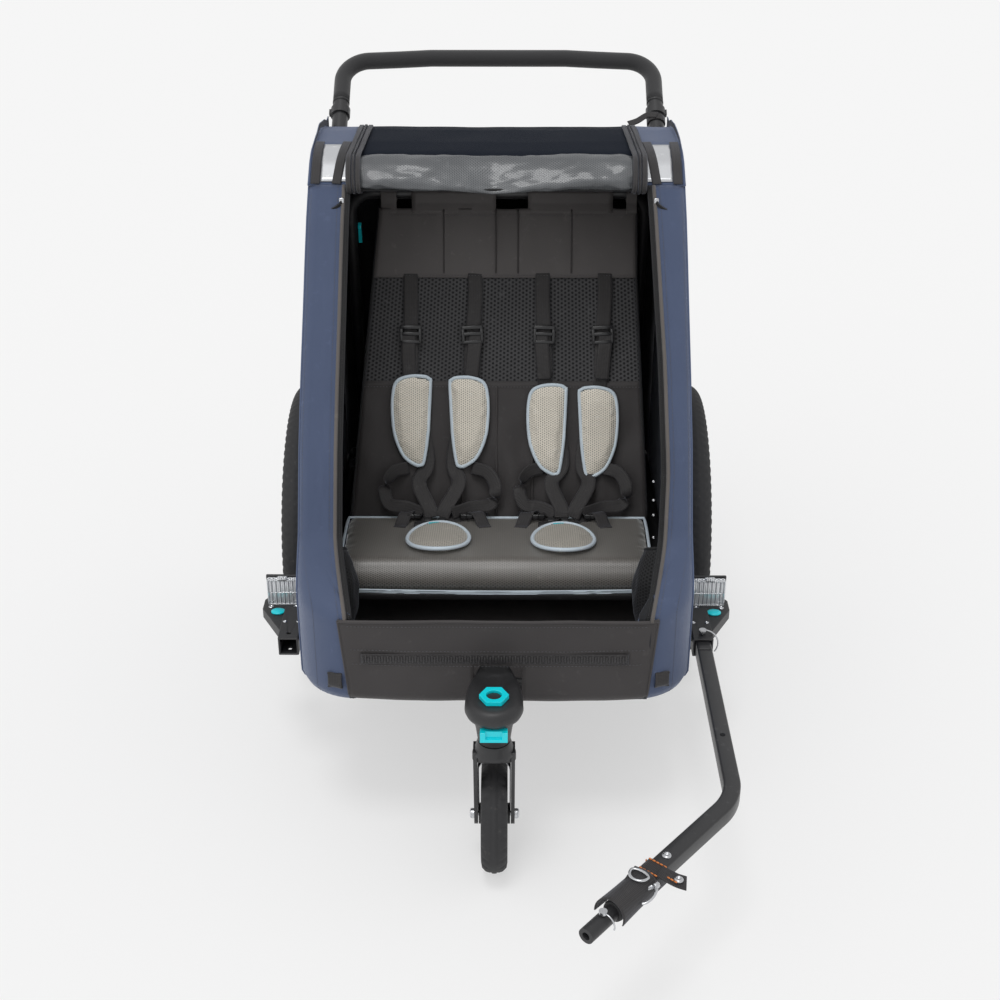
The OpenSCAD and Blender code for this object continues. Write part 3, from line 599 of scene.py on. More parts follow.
FACE_FRONT = Matrix.Rotation(math.pi / 2, 3, "X")
FACE_UP = Matrix.Identity(3)
SEAT_TURN = Matrix.Rotation(-SEAT_TILT, 3, "X")
BACK_TURN = Matrix.Rotation(-BACK_LEAN, 3, "X")


def follow_cage(piece):
    """Bakes a piece's placement into its mesh."""
    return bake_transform(piece)


def follow_back(piece):
    """Bakes a piece's placement into its mesh."""
    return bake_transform(piece)


# ---- the carried-over frame: finishes and rounded edges ----

FINISHES = {
    powder_coat: ["base_frame", "seat_front_bar", "roll_cage", "seat_hoop", "brake_pedal",
                  "caster_fork"],
    steel: ["fold_pivots", "axle_left", "axle_right", "brake_pin_left", "brake_pin_right", "caster_axle",
            "arm_pin", "hitch_core", "hitch_pin"],
    alloy: ["handlebar", "rim_left", "rim_right", "hub_left", "hub_right"],
    black_plastic: ["wheel_guard_left", "wheel_guard_right", "brake_brackets",
                    "caster_hub", "height_button_left", "height_button_right", "hitch_plug"],
    teal_plastic: ["fold_latch_left", "fold_latch_right", "axle_button_left", "axle_button_right",
                   "caster_bush", "caster_latch", "buckle_button_left", "buckle_button_right"],
    foam: ["foam_grip"],
    tread_rubber: ["hitch_elastomer"],
}
ROUNDED = {"wheel_guard_left": 1.6, "wheel_guard_right": 1.6,
           "caster_latch": 1.5, "caster_fork": 1.5, "caster_bush": 0.8, "brake_pedal": 1.5,
           "hitch_plug": 1.2, "fold_latch_left": 1.2, "fold_latch_right": 1.2}


def finish_frame():
    """Gives the CAD nodes that stay in view their finish, and some of them rounded edges."""
    for finish, names in FINISHES.items():
        for name in names:
            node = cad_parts[name]
            node.data.materials.clear()
            node.data.materials.append(finish)
    for name, edge in ROUNDED.items():
        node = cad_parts[name]
        weld = node.modifiers.new("weld", "WELD")
        weld.merge_threshold = 0.00001
        bevel = node.modifiers.new("edges", "BEVEL")
        bevel.width = edge * MM
        bevel.segments = 3
        bevel.limit_method = "ANGLE"
        bevel.angle_limit = math.radians(40)


# ---- body fabric ----

def nose_share(z):
    """1 at the nose, 0 where the body's front edge rises as a plain return."""
    return 1 - smooth_step((z - NOSE_TOP) / 72)


def front_at(v, side):
    """The front edge a share v of the way up: its y, z, corner radius and inner x."""
    y, z = along(FRONT_EDGE, v)
    nose = nose_share(z)
    inner = lerp(OPENING_HALF, SEAM_HALF, nose)
    if side > 0:
        inner += along(LEFT_PULL, min(1, max(0, (z - NOSE_TOP) / (ROOF_FRONT[1] - NOSE_TOP))))[0]
    return lerp(y, NOSE_Y, nose), z, lerp(16, NOSE_RADIUS, nose), inner


SIDE_SHARE, CORNER_SHARE = 0.56, 0.8


def side_point(side, u, v, out=0.0):
    """The side fabric from its rear edge, u = 0, round the front corner to the opening, u = 1."""
    spot = side_surface(side, u, v, out)
    low = RAIL_Z - spot.z / MM
    if low <= 0:
        return spot
    wrap = low / HEM_R
    tuck = (HEM_R + out) * (1 - math.cos(wrap))
    middle = at(side * (SIDE_X - NOSE_RADIUS), NOSE_Y + NOSE_RADIUS, 0)
    inward = Vector((-side, 0, 0))
    if spot.y < middle.y:
        inward = Vector((middle.x - spot.x if abs(spot.x) > abs(middle.x) else 0, middle.y - spot.y, 0))
        inward.normalize()
    spot += inward * tuck * MM
    spot.z = (RAIL_Z - (HEM_R + out) * math.sin(wrap)) * MM
    return spot


def side_surface(side, u, v, out):
    """The side fabric before its hem is wrapped under the rail."""
    y_front, z, radius, inner = front_at(v, side)
    sag = 2.2 * ripple(0, y_front + 600 * u, z, 90, side) * math.sin(math.pi * min(1, u / SIDE_SHARE))
    if u <= SIDE_SHARE:
        t = u / SIDE_SHARE
        y = lerp(y_on(REAR_LINE, z) - 4, y_front + radius, t)
        lift = max(0.0, height_on(ROOF_LINE, y) - lerp(ROOF_FRONT[1], 905, (y + 112) / 310)) * v ** 4
        x = SIDE_X + out - 5 * math.sin(math.pi * t) * math.sin(math.pi * v) + sag
        return at(side * x, y, z + lift)
    if u <= CORNER_SHARE:
        turn = (u - SIDE_SHARE) / (CORNER_SHARE - SIDE_SHARE) * math.pi / 2
        x = SIDE_X - radius + (radius + out) * math.cos(turn)
        return at(side * x, y_front + radius - (radius + out) * math.sin(turn), z)
    t = (u - CORNER_SHARE) / (1 - CORNER_SHARE)
    bow = 1.5 * ripple(300 * t, 3 * z, 0, 60, side) * math.sin(math.pi * t)
    return at(side * lerp(SIDE_X - radius, inner, t), y_front - out - bow, z)


def opening_path(side, start=0.0, inset=0.0, out=1.0):
    """The inner edge of the front opening, from the nose up to the roof."""
    path = []
    for i in range(61):
        y, z, _, inner = front_at(lerp(start, 1, i / 60), side)
        path.append(at(side * (inner + inset), y - out, z))
    return path


def make_side(side, name):
    """A side panel, its opening's binding and zip, its seams and its mesh window."""
    panel = cloth_sheet(
        f"side_fabric_{name}", lambda u, v: side_point(side, u, v), 56, 64, navy, 1.6, lining)
    if side > 0:
        panel.data.flip_normals()
    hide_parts(f"side_panel_{name}")
    follow_cage(panel)
    start = 0.205
    binding = tube(f"opening_binding_{name}", opening_path(side, start, 0, 1.5), 3.0, brown_binding, sides=8)
    tape = strap(f"zip_tape_{name}", opening_path(side, start, -5, 0), (1, 0, 0), 12, zip_tape, 1.2)
    teeth = stitches(f"zip_teeth_{name}", opening_path(side, start, -7, 1.5), black_plastic, 1.6, 1.2, 1.1)
    seam = stitches(f"opening_stitches_{name}", opening_path(side, start, 9, 1.6), thread)
    corner = [side_point(side, 0.69, lerp(0.02, 0.98, i / 90), 0.9) for i in range(91)]
    long_seam = stitches(f"corner_stitches_{name}", corner, thread)
    piping = tube(f"corner_piping_{name}", [side_point(side, 0.60, lerp(0.0, 1.0, i / 90), 1.4)
                                            for i in range(91)], 1.7, navy, sides=8)
    for trim in (binding, tape, teeth, seam, long_seam, piping):
        follow_cage(trim)
    window = cloth_sheet(
        f"side_window_{name}", lambda u, v: window_at(side, u, v, 2.2), 24, 24, pocket_mesh, 1.0)
    edge = [window_at(side, u, 0, 2.6) for u in [i / 24 for i in range(24)]]
    edge += [window_at(side, 1, v, 2.6) for v in [i / 24 for i in range(24)]]
    edge += [window_at(side, 1 - u, 1, 2.6) for u in [i / 24 for i in range(24)]]
    edge += [window_at(side, 0, 1 - v, 2.6) for v in [i / 24 for i in range(24)]]
    rim = tube(f"side_window_binding_{name}", edge, 2.6, brown_binding, closed=True, sides=8)
    for part in (window, rim):
        follow_cage(part)


def window_at(side, u, v, out):
    """A rounded window in the side fabric, leaning as the front edge does."""
    across, up = 2 * u - 1, 2 * v - 1
    pull = 1 - 0.16 * (across * up) ** 2
    level = lerp(0.46, 0.86, (up * pull + 1) / 2)
    return side_point(side, lerp(0.12, 0.44, (across * pull + 1) / 2), level, out)


def nose_y(x):
    """How far forward the rounded nose reaches at x."""
    over = max(0.0, abs(x) - NOSE_HALF)
    return NOSE_Y + NOSE_RADIUS - math.sqrt(NOSE_RADIUS ** 2 - over ** 2)


def front_panel_point(u, v):
    """A point of the low front panel, which bows over the rounded nose."""
    half = lerp(PANEL_LOW_HALF, PANEL_TOP_HALF, v)
    x = lerp(-half, half + PANEL_SLANT, u)
    z = lerp(PANEL_LOW, NOSE_TOP, v)
    bow = 3 * math.sin(math.pi * u) * math.sin(math.pi * v) + 1.6 * ripple(x, 0, z, 55, 3)
    tuck = 12 * max(0.0, 1 - v / 0.12) ** 2
    return at(x, nose_y(x) - 2.5 - bow + tuck, z + 5 * (2 * u - 1) ** 4 * (1 - v))


def make_front():
    """The low front panel with its ribbed band, seams and two webbing tabs."""
    panel = cloth_sheet(
        "front_fabric", front_panel_point, 64, 26, charcoal, 1.6,
        skip=lambda u, v: abs(u - 0.5) < 0.082 and v < 0.5)
    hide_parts("front_panel")
    ride_slot(panel, "root")
    hem = [front_panel_point(i / 60, 1) for i in range(61)]
    ride_slot(tube("front_hem", hem, 2.6, charcoal, sides=8), "root")
    band_y, band_z, ribs = NOSE_Y - 7.0, 342, 96
    base = strap("front_band", [at(lerp(-201, 201, i / 40), band_y + 1, band_z) for i in range(41)],
                 (0, 0, 1), 18, webbing, 1.4)
    loops = []
    for i in range(ribs):
        x = lerp(-197, 197, i / (ribs - 1))
        tall = 11 + 3.5 * noise.noise(Vector((i * 0.7, 3, 5)))
        loops.append(rounded_block("rib", at(x, band_y - 0.4, band_z + (1.2 if i % 2 else -1.2)),
                                   (2.5, 1.6, tall), webbing, edge=0.5, segments=1))
    ride_slot(joined("front_band_loops", loops), "root")
    ride_slot(base, "root")
    for z, tag in ((NOSE_TOP - 8, "top"), (355, "band_upper"), (329, "band_lower")):
        level = (z - PANEL_LOW) / (NOSE_TOP - PANEL_LOW)
        row = [front_panel_point(lerp(0.03, 0.97, i / 50), level) + Vector((0, -0.0012, 0))
               for i in range(51)]
        ride_slot(stitches(f"front_stitches_{tag}", row, thread), "root")
    for side, tag in ((1, "left"), (-1, "right")):
        seam = [front_panel_point(0.5 + side * 0.5, i / 20) for i in range(21)]
        ride_slot(tube(f"nose_seam_{tag}", seam, 1.6, charcoal, sides=8), "root")
        x = 248 + 6 * side
        lie = nose_y(x)
        loop = [at(side * x, lie + 1, 308), at(side * x, lie - 3, 308), at(side * x, lie - 7, 300),
                at(side * x, lie - 8, 291), at(side * x, lie - 4, 286), at(side * x, lie - 1, 292)]
        ride_slot(strap(f"nose_tab_{tag}", smooth_path(loop), (1, side * 0.37, 0), 23), "root")


def ride_slot(piece, body):
    """Fixes a piece to a body."""
    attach(piece, body)
    return piece


def roof_point(x, t, sag):
    """A point of the roof's cloth, which sags a little between its edges."""
    y, z = along(ROOF_LINE, t)
    drop = sag * math.sin(math.pi * t) + 1.5 * ripple(x, y, 0, 70, 5)
    return at(x, y, z - drop - 0.8)


def make_roof():
    """The dark middle of the roof and its navy edges, with piping and seams."""
    parts = [(-SIDE_X, -232, 0.0, navy, "right"), (232, SIDE_X, 0.0, navy, "left"),
             (-234, 234, 0.16, night, "centre")]
    for low, high, start, finish, tag in parts:
        sheet = cloth_sheet(
            f"roof_fabric_{tag}",
            lambda u, v, low=low, high=high, start=start: roof_point(
                lerp(low, high, u), lerp(start, 1, v), 2.5 * math.sin(math.pi * u)),
            44 if tag == "centre" else 10, 36, finish, 1.6, lining)
        ride_slot(sheet, "cage")
    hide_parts("roof_panel")
    for side, tag in ((1, "left"), (-1, "right")):
        edge = [roof_point(side * SIDE_X, i / 40, 0) for i in range(41)]
        ride_slot(tube(f"roof_piping_{tag}", edge, 2.4, navy, sides=8), "cage")
        seam = [roof_point(side * 233, lerp(0.12, 1, i / 40), 0) + Vector((0, 0, 0.0006)) for i in range(41)]
        ride_slot(tube(f"roof_seam_{tag}", seam, 1.6, zip_tape, sides=8), "cage")
        row = [p + Vector((side * 0.006, 0, 0.0008)) for p in seam]
        ride_slot(stitches(f"roof_stitches_{tag}", row, thread), "cage")


def roll_point(x, swell, turn):
    """A point of the rolled cover's leaning oval section, swell times its size."""
    along_slope = -ROLL_LONG * swell * math.cos(turn)
    off_slope = ROLL_SHORT * swell * math.sin(turn)
    c, s = math.cos(ROLL_SLOPE), math.sin(ROLL_SLOPE)
    return at(x, ROLL_Y + along_slope * c - off_slope * s, ROLL_Z + along_slope * s + off_slope * c)


def make_roll():
    """The clear front cover, rolled up under the roof's front edge and tied there."""
    rings, around = 90, 48

    def place(u, v):
        x = lerp(-ROLL_HALF, ROLL_HALF, u)
        turn = v * math.tau
        fold = 0.06 * ripple(x / 5, 40 * math.cos(turn), 40 * math.sin(turn), 9, 2)
        crease = 0.05 * math.sin(4 * turn + 2.6 * ripple(x, 0, 0, 90, 4))
        crush = 0.05 * ripple(x, 60 * math.cos(turn), 60 * math.sin(turn), 16, 7)
        pinch = 0.1 * math.exp(-((abs(x) - 222) / 10) ** 2)
        swell = 1 + fold + crease + crush - pinch - 0.1 * math.exp(-((x + 10) / 70) ** 2)
        droop = 14 * max(0.0, 1 - abs(x + 8) / 225) ** 1.2 + 7 * math.exp(-((x + 8) / 60) ** 2)
        sag = droop * max(0.0, math.sin(turn + 0.7))
        return roll_point(x, swell, turn) - Vector((0, 0, sag * MM))

    points, faces, cuts = [], [], []
    for i in range(rings + 1):
        for k in range(around):
            points.append(place(i / rings, k / around))
            cuts.append((i / rings * 0.472, k / around * 0.16))
    faces += [(i * around + k, i * around + (k + 1) % around, (i + 1) * around + (k + 1) % around,
               (i + 1) * around + k) for i in range(rings) for k in range(around)]
    for end in (0, rings):
        outer = [end * around + k for k in range(around)]
        for shrink, push in ((0.75, 1.5), (0.7, -1.5), (0.4, -1.0), (0.35, 1.5), (0.1, 1.2)):
            inner = []
            for k in range(around):
                rim = place(end / rings, k / around)
                middle = roll_point(ROLL_HALF * (1 if end else -1), 0, 0)
                inner.append(len(points))
                points.append(middle.lerp(rim, shrink) + Vector((push * MM * (1 if end else -1), 0, 0)))
                cuts.append((0.01 * shrink, k / around * 0.16))
            faces += [(outer[k], outer[(k + 1) % around], inner[(k + 1) % around], inner[k])
                      for k in range(around)]
            outer = inner
        faces.append(tuple(outer))
    roll = outward(new_piece("rolled_clear_cover", points, faces, clear_film, cuts))
    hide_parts("rolled_cover")
    ride_slot(roll, "cage")
    hem = [roll_point(lerp(-ROLL_HALF + 3, ROLL_HALF - 3, i / 60), 1.0, -0.35) for i in range(61)]
    ride_slot(tube("roll_hem", hem, 2.2, zip_tape, sides=8), "cage")
    for side, tag in ((1, "left"), (-1, "right")):
        bands = []
        for shift in (-7.5, 0, 7.5):
            middle = side * (229 + shift)
            path = [at(middle - side * 4, 96, 964), at(middle - side * 3, 20, 967), at(middle, -40, 963)]
            path += [roll_point(middle + side * turn, 1.14, turn)
                     for turn in (1.9, 1.4, 0.9, 0.4, 0.0, -0.4, -0.9, -1.4, -1.9)]
            bands.append(strap("band", smooth_path(path, 5), (1, 0, 0), 9 if shift else 6, webbing,
                               3.0 if shift else 4.6))
        ride_slot(joined(f"roll_tie_{tag}", bands), "cage")


def shoulder_point(side, x, t, out):
    """A point on the roof's front corner: t runs from the opening back over the curve."""
    y, z = along(ROOF_LINE, t)
    return at(side * x, y - out * 0.5, z + out * 0.85)


def make_corner_patches(side, tag):
    """Silver reflective cloth on the shoulder, crossed by a strap, with the zip's pull below."""
    def place(u, v):
        return shoulder_point(side, lerp(236, 284, u), lerp(0.02, 0.34, v), 1.8)

    patch = cloth_sheet(f"reflective_patch_{tag}", place, 14, 12, silver_cloth, 0.8)
    if side < 0:
        patch.data.flip_normals()
    ride_slot(patch, "cage")
    for part, x_low, x_high, width in (("cross", 258, 247, 15), ("edge", 292, 292, 15)):
        run = [shoulder_point(side, lerp(x_low, x_high, t), lerp(0.0, 0.37, t), 3.4)
               for t in (0, 0.2, 0.4, 0.6, 0.8, 1)]
        crossing = strap(f"shoulder_{part}_strap_{tag}", smooth_path(run), (1, 0, 0), width)
        ride_slot(crossing, "cage")
    y, z, _, inner = front_at(0.965, side)
    slider = rounded_block(f"zip_slider_{tag}", at(side * (inner + 2), y - 5, z), (8, 5, 12), steel, edge=1.4)
    pull = [at(side * (inner + 2), y - 8, z), at(side * (inner + 8), y - 11, z - 6),
            at(side * (inner + 20), y - 12, z - 13), at(side * (inner + 32), y - 9, z - 19)]
    cord = strap(f"zip_pull_{tag}", smooth_path(pull), (0.4, 0, 0.9), 6, zip_tape, 2.4)
    for part in (slider, cord):
        follow_cage(part)


def make_rear():
    """The rear panel with its flap, mesh pocket, reflective band and seams."""
    def place(u, v):
        z = lerp(BODY_FLOOR, 905, v)
        x = lerp(-SIDE_X, SIDE_X, u)
        bow = 2.5 * ripple(x, 0, z, 100, 8) + 3 * math.sin(math.pi * u) * math.sin(math.pi * v)
        return at(x, y_on(REAR_LINE, z) - 1 + bow, z)

    panel = cloth_sheet("rear_fabric", place, 60, 64, charcoal, 1.6, lining)
    panel.data.flip_normals()
    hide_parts("rear_panel")
    follow_cage(panel)
    flap = cloth_sheet(
        "rear_top_flap",
        lambda u, v: at(lerp(-248, 248, u), lerp(205, 173, v) + 1.5 * math.sin(math.pi * v),
                        lerp(880, 939, v)),
        40, 10, charcoal, 1.6)
    flap.data.flip_normals()
    ride_slot(flap, "cage")
    pocket = cloth_sheet(
        "rear_pocket", lambda u, v: rear_out(lerp(-215, 215, u), lerp(330, 560, v),
                                             4 + 7 * math.sin(math.pi * u) ** 0.5 * v),
        40, 24, pocket_mesh, 1.2)
    pocket.data.flip_normals()
    hem = strap("rear_pocket_hem", [rear_out(lerp(-216, 216, i / 40), 560,
                                             5.5 + 7 * math.sin(math.pi * i / 40) ** 0.5) for i in range(41)],
                (0, 0, 1), 16)
    light = strap("rear_reflective_band", [rear_out(lerp(-290, 290, i / 60), 620, 5) for i in range(61)],
                  (0, 0, 1), 18, silver_cloth, 1.2)
    edges = []
    for x in (-216, 216):
        edges.append(strap("edge", [rear_out(x, lerp(330, 566, i / 16), 4.6) for i in range(17)],
                           (1, 0, 0), 12))
    edges.append(strap("edge", [rear_out(lerp(-220, 220, i / 30), 330, 4.6) for i in range(31)],
                       (0, 0, 1), 12))
    frame_trim = joined("rear_pocket_binding", edges)
    rows = []
    for x in (-262, 262):
        rows.append(stitches("row", [rear_out(x, lerp(280, 830, i / 40), 3) for i in range(41)], thread))
    seams = joined("rear_stitches", rows)
    for part in (pocket, hem, light, frame_trim, seams):
        follow_cage(part)


def rear_out(x, z, out):
    """A point out from the bowed rear panel."""
    bow = 3 * math.cos(math.pi * x / 605) * math.sin(math.pi * (z - BODY_FLOOR) / 637)
    return at(x, y_on(REAR_LINE, z) - 1 + bow + out, z)


def make_floor_cloth():
    """The floor cloth, narrowed towards the nose."""
    def place(u, v):
        y = lerp(-568, 190, v)
        half = 272 if y > -500 else 201 + math.sqrt(71 ** 2 - (y + 500) ** 2)
        x = lerp(-half, half, u)
        return at(x, y, 265.5 + 1.2 * ripple(x, y, 0, 80, 9))

    floor = cloth_sheet("floor_fabric", place, 36, 48, charcoal, 2.4)
    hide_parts("floor_panel")
    ride_slot(floor, "root")


# ---- seat ----

PAD_EDGE = [(2, 64), (5, 73), (14, 77), (38, 77), (60, 68), (67, 43), (67, 4), (62, -28), (48, -59),
            (30, -73), (19, -75), (13, -66), (6, -14)]


def pad_outline():
    """A shoulder pad's outline, as (away from the neck, up) about its middle."""
    ring = smooth_path([Vector((a, b, 0)) for a, b in PAD_EDGE[-1:] + PAD_EDGE + PAD_EDGE[:1]], 5)
    return [(p.x, p.y) for p in ring[5:-5]]


def slab(name, outline, place, thick, finish):
    """A closed slab over an outline; place(x, y, out) puts its points."""
    count = len(outline)
    levels = [(0.9, 0), (1.0, thick * 0.3), (1.0, thick * 0.7), (0.9, thick)]
    mid_x = (min(x for x, _ in outline) + max(x for x, _ in outline)) / 2
    points = [place(mid_x + (x - mid_x) * grow, y * grow, h) for grow, h in levels for x, y in outline]
    return outward(new_piece(name, points, ring_faces(len(levels), count), finish))


def stuff(pads, frames=20):
    """Fills pads, a list of (piece, voxel, cap in mm), as cloth bags under pressure."""
    bags = []
    for piece, voxel, cap in pads:
        remesh = piece.modifiers.new("even", "REMESH")
        remesh.mode = "VOXEL"
        remesh.voxel_size = voxel * MM
        bake_mesh(piece)
        rest = [(v.co.copy(), v.normal.copy()) for v in piece.data.vertices]
        cloth = piece.modifiers.new("cloth", "CLOTH")
        cloth.settings.quality = 5
        cloth.settings.mass = 0.3
        cloth.settings.use_pressure = True
        cloth.settings.uniform_pressure_force = 4
        cloth.settings.effector_weights.gravity = 0
        cloth.settings.tension_stiffness = 12
        cloth.settings.compression_stiffness = 12
        cloth.point_cache.frame_start = 1
        cloth.point_cache.frame_end = frames
        bags.append((piece, rest, cap * MM))
    scene = bpy.context.scene
    for number in range(1, frames + 1):
        if bags:
            scene.frame_set(number)
    for piece, rest, cap in bags:
        bake_mesh(piece)
        for vertex, (start, normal) in zip(piece.data.vertices, rest):
            swell = max(0.0, (vertex.co - start).dot(normal))
            vertex.co = start + normal * min(swell, cap)
    if bags:
        scene.frame_set(1)
    for piece, _, _ in pads:
        piece.data.polygons.foreach_set("use_smooth", [True] * len(piece.data.polygons))
        soft = piece.modifiers.new("smooth", "SUBSURF")
        soft.levels = soft.render_levels = 1
        bake_mesh(piece)


def bake_mesh(piece):
    """Applies the piece's modifiers to its mesh."""
    finishes = list(piece.data.materials)
    graph = bpy.context.evaluated_depsgraph_get()
    mesh = bpy.data.meshes.new_from_object(piece.evaluated_get(graph))
    piece.modifiers.clear()
    piece.data = mesh
    mesh.materials.clear()
    for finish in finishes:
        mesh.materials.append(finish)
    mesh.polygons.foreach_set("use_smooth", [True] * len(mesh.polygons))


def seat_outline(u, v):
    """The cushion's cover, from the rear of its top to under its front roll."""
    front, roll, top_share = 240, 29, 0.6
    if v < top_share:
        forward, up = lerp(4, front - roll, v / top_share), 3.0
    else:
        turn = (v - top_share) / (1 - top_share) * math.radians(118)
        forward, up = front - roll + roll * math.sin(turn), 3 - roll + roll * math.cos(turn)
    half = SEAT_HALF + lerp(14, 6, smooth_step(v * 1.3)) - 6 * smooth_step((v - 0.85) / 0.15)
    return lerp(-half, half, u), forward, up


def make_cushion():
    """The seat cushion's cover as a closed shape, ready to be filled."""
    columns, rows = 40, 24
    top = [[seat_outline(i / columns, j / rows) for i in range(columns + 1)] for j in range(rows + 1)]
    points, faces = [], []
    wide = columns + 1
    for row in top:
        for x, forward, up in row:
            points.append(on_seat(x, forward, up))
    for row in top:
        for x, forward, up in row:
            drop = 26 if up > 0 else 20
            under = min(forward, 214) if up > 0 else forward - drop
            points.append(on_seat(x * 0.985, under, up - drop * 0.9))
    low = wide * (rows + 1)
    for j in range(rows):
        for i in range(columns):
            a = j * wide + i
            faces.append((a, a + 1, a + wide + 1, a + wide))
            faces.append((low + a, low + a + wide, low + a + wide + 1, low + a + 1))
    rim = ([(i, i + 1) for i in range(columns)]
           + [(rows * wide + i + 1, rows * wide + i) for i in range(columns)]
           + [((j + 1) * wide, j * wide) for j in range(rows)]
           + [(j * wide + columns, (j + 1) * wide + columns) for j in range(rows)])
    faces += [(b, a, low + a, low + b) for a, b in rim]
    cushion = outward(new_piece("seat_cushion_cover", points, faces, seat_mesh))
    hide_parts("seat_cushion")
    return cushion


def cut_cushion(cushion):
    """Lays the cushion's cloth pattern over its top and down its front roll."""
    layer = cushion.data.uv_layers.new(name="cut")
    origin = on_seat(0, 0, 0)
    forward = on_seat(0, 1, 0) - origin
    up = on_seat(0, 0, 1) - origin
    for loop in cushion.data.loops:
        spot = cushion.data.vertices[loop.vertex_index].co - origin
        layer.data[loop.index].uv = (spot.x, (spot.dot(forward) - spot.dot(up)) / MM)


def give_way(piece):
    """Gives a soft piece of the seat a mesh of its own."""
    up = on_seat(0, 0, 1) - on_seat(0, 0, 0)
    tuple(on_seat(0, 0, -24))
    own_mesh(piece)


def dress_cushion():
    """Piping and seams, laid on after the cushion is filled."""
    edge = [on_seat(*lift_out(seat_outline(0, v / 24), -1)) for v in range(24, -1, -1)]
    edge += [on_seat(*lift_out(seat_outline(u / 24, 0), 0)) for u in range(1, 24)]
    edge += [on_seat(*lift_out(seat_outline(1, v / 24), 1)) for v in range(25)]
    piping = tube("seat_piping", edge, 2.6, pale_binding, sides=8)
    ride_slot(piping, "root")
    give_way(piping)
    lower = [on_seat(lerp(-236, 236, i / 40), 240, -43 - 3 * math.sin(i / 40 * math.pi)) for i in range(41)]
    ride_slot(strap("seat_lower_binding", lower, (0, 0, 1), 8, pale_binding, 3), "root")


def lift_out(spot, side):
    """A seat point moved out to the line of the piping."""
    x, forward, up = spot
    return x + 2 * side, forward, up + 1


def back_edges(height):
    """The seat back's right and left edges at a height; it hangs a little to one side."""
    return -lerp(254, 200, height / 560), lerp(262, 240, min(1, height / 420))


def back_sheet(name, low, high, out, finish, folds, thick=1.4, columns=60, rows=30):
    """A panel of the seat back between two heights, with upright folds."""
    def place(u, v):
        height = lerp(low, high, v)
        x = lerp(*back_edges(height), u)
        pleat = folds(x, height)
        droop = 7 * math.sin(math.pi * u) * math.sin(math.pi * height / 560)
        return on_back(x, height, out + pleat - droop)

    sheet = cloth_sheet(name, place, columns, rows, finish, thick)
    return follow_back(sheet)


def back_out(x, height, out):
    """A point out from the seat back, with its droop."""
    u = min(1, max(0, (x + 240) / 480))
    return on_back(x, height, out - 7 * math.sin(math.pi * u) * math.sin(math.pi * height / 560))


def make_back():
    """The seat back's three panels, its sleeves on the crossbar, seams and edges."""
    lower = back_sheet(
        "seat_back_lower", -4, 242, 2.0, charcoal,
        lambda x, h: (3.6 * math.sin(x / 13 + 1.6 * ripple(x, h, 0, 90, 1)) * math.exp(-((h - 90) / 110) ** 2)
                      + 3.0 * ripple(x, h / 2, 0, 30, 6)))
    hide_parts("seat_back")
    back_sheet("seat_back_mesh", 234, 428, -0.5, back_mesh, lambda x, h: 1.2 * ripple(x, h, 0, 80, 2))
    # The upper panel wears the charcoal cloth painted lighter, as if lit.
    back_sheet("seat_back_upper", 420, 538, 3.5, painted_lit_charcoal,
               lambda x, h: (3.6 * ripple(x, h / 3, 0, 36, 3) * (0.4 + (h - 420) / 200)
                             - 5 * math.exp(-((x - 15) / 20) ** 2) * (h - 420) / 120))
    sleeves = [(-200, -173), (-147, -2), (53, 199), (222, 240)]
    for n, (low, high) in enumerate(sleeves):
        def place(u, v, low=low, high=high):
            x = lerp(low, high, u)
            if v < 0.3:
                return back_out(x, lerp(530, 553, v / 0.3), 4.2)
            turn = (v - 0.3) / 0.7 * math.radians(215)
            centre = on_back(0, 560, 0)
            back = Vector((0, math.cos(BACK_LEAN), -math.sin(BACK_LEAN)))
            rise = Vector((0, math.sin(BACK_LEAN), math.cos(BACK_LEAN)))
            return (Vector((x * MM, centre.y, centre.z)) - back * 12.8 * MM * math.cos(turn)
                    + rise * 12.8 * MM * math.sin(turn))
        # The crossbar sleeves wear the charcoal cloth painted lighter, as if lit.
        loop = cloth_sheet(f"crossbar_sleeve_{n + 1}", place, 16, 16, painted_lit_charcoal, 1.4)
        ride_slot(loop, "hoop")
    for tag, height in (("top", 526), ("flap", 424), ("mesh", 232)):
        low, high = back_edges(height)
        row = [back_out(lerp(low + 3, high - 3, i / 60), height, 5.6) for i in range(61)]
        follow_back(stitches(f"back_stitches_{tag}", row, thread))
    for n, x in enumerate((-92, -2, 36, 128)):
        seam = [back_out(x, lerp(428, 536, i / 16), 5.2) for i in range(17)]
        ridge = tube(f"back_upper_seam_{n + 1}", seam, 1.5, charcoal, sides=6)
        follow_back(ridge)
    for n, x in enumerate((-60, 0, 62)):
        seam = [back_out(x, lerp(10, 234, i / 24), 5.0) for i in range(25)]
        ridge = tube(f"back_lower_seam_{n + 1}", seam, 1.6, charcoal, sides=6)
        follow_back(ridge)
    for side, tag in ((1, "left"), (-1, "right")):
        edge = [on_back(back_edges(h)[0 if side < 0 else 1], h, 2.5) for h in range(0, 541, 20)]
        follow_back(tube(f"back_edge_{tag}", edge, 2.2, zip_tape, sides=8))


def adjuster(name, x, height, lean):
    """A ladder lock: a frame with two bars, on a shoulder strap."""
    parts = []
    turn = BACK_TURN @ Matrix.Rotation(lean, 3, "Y")
    for dx, dz, w, h, d in ((-16, 0, 5.5, 29, 7), (16, 0, 5.5, 29, 7), (0, 12.5, 36, 6.5, 8),
                            (0, -12.5, 36, 5.5, 7), (0, 1.5, 31, 6, 8)):
        spot = back_out(x, height, 11) + turn @ Vector((dx * MM, 0, dz * MM))
        parts.append(rounded_block("bar", spot, (w, d, h), gloss_plastic, turn, 1.1))
    return follow_back(joined(name, parts))


SHOULDER_PADS = [(-113, -1, 172), (-83, 1, 170), (122, -1, 157), (141, 1, 153)]


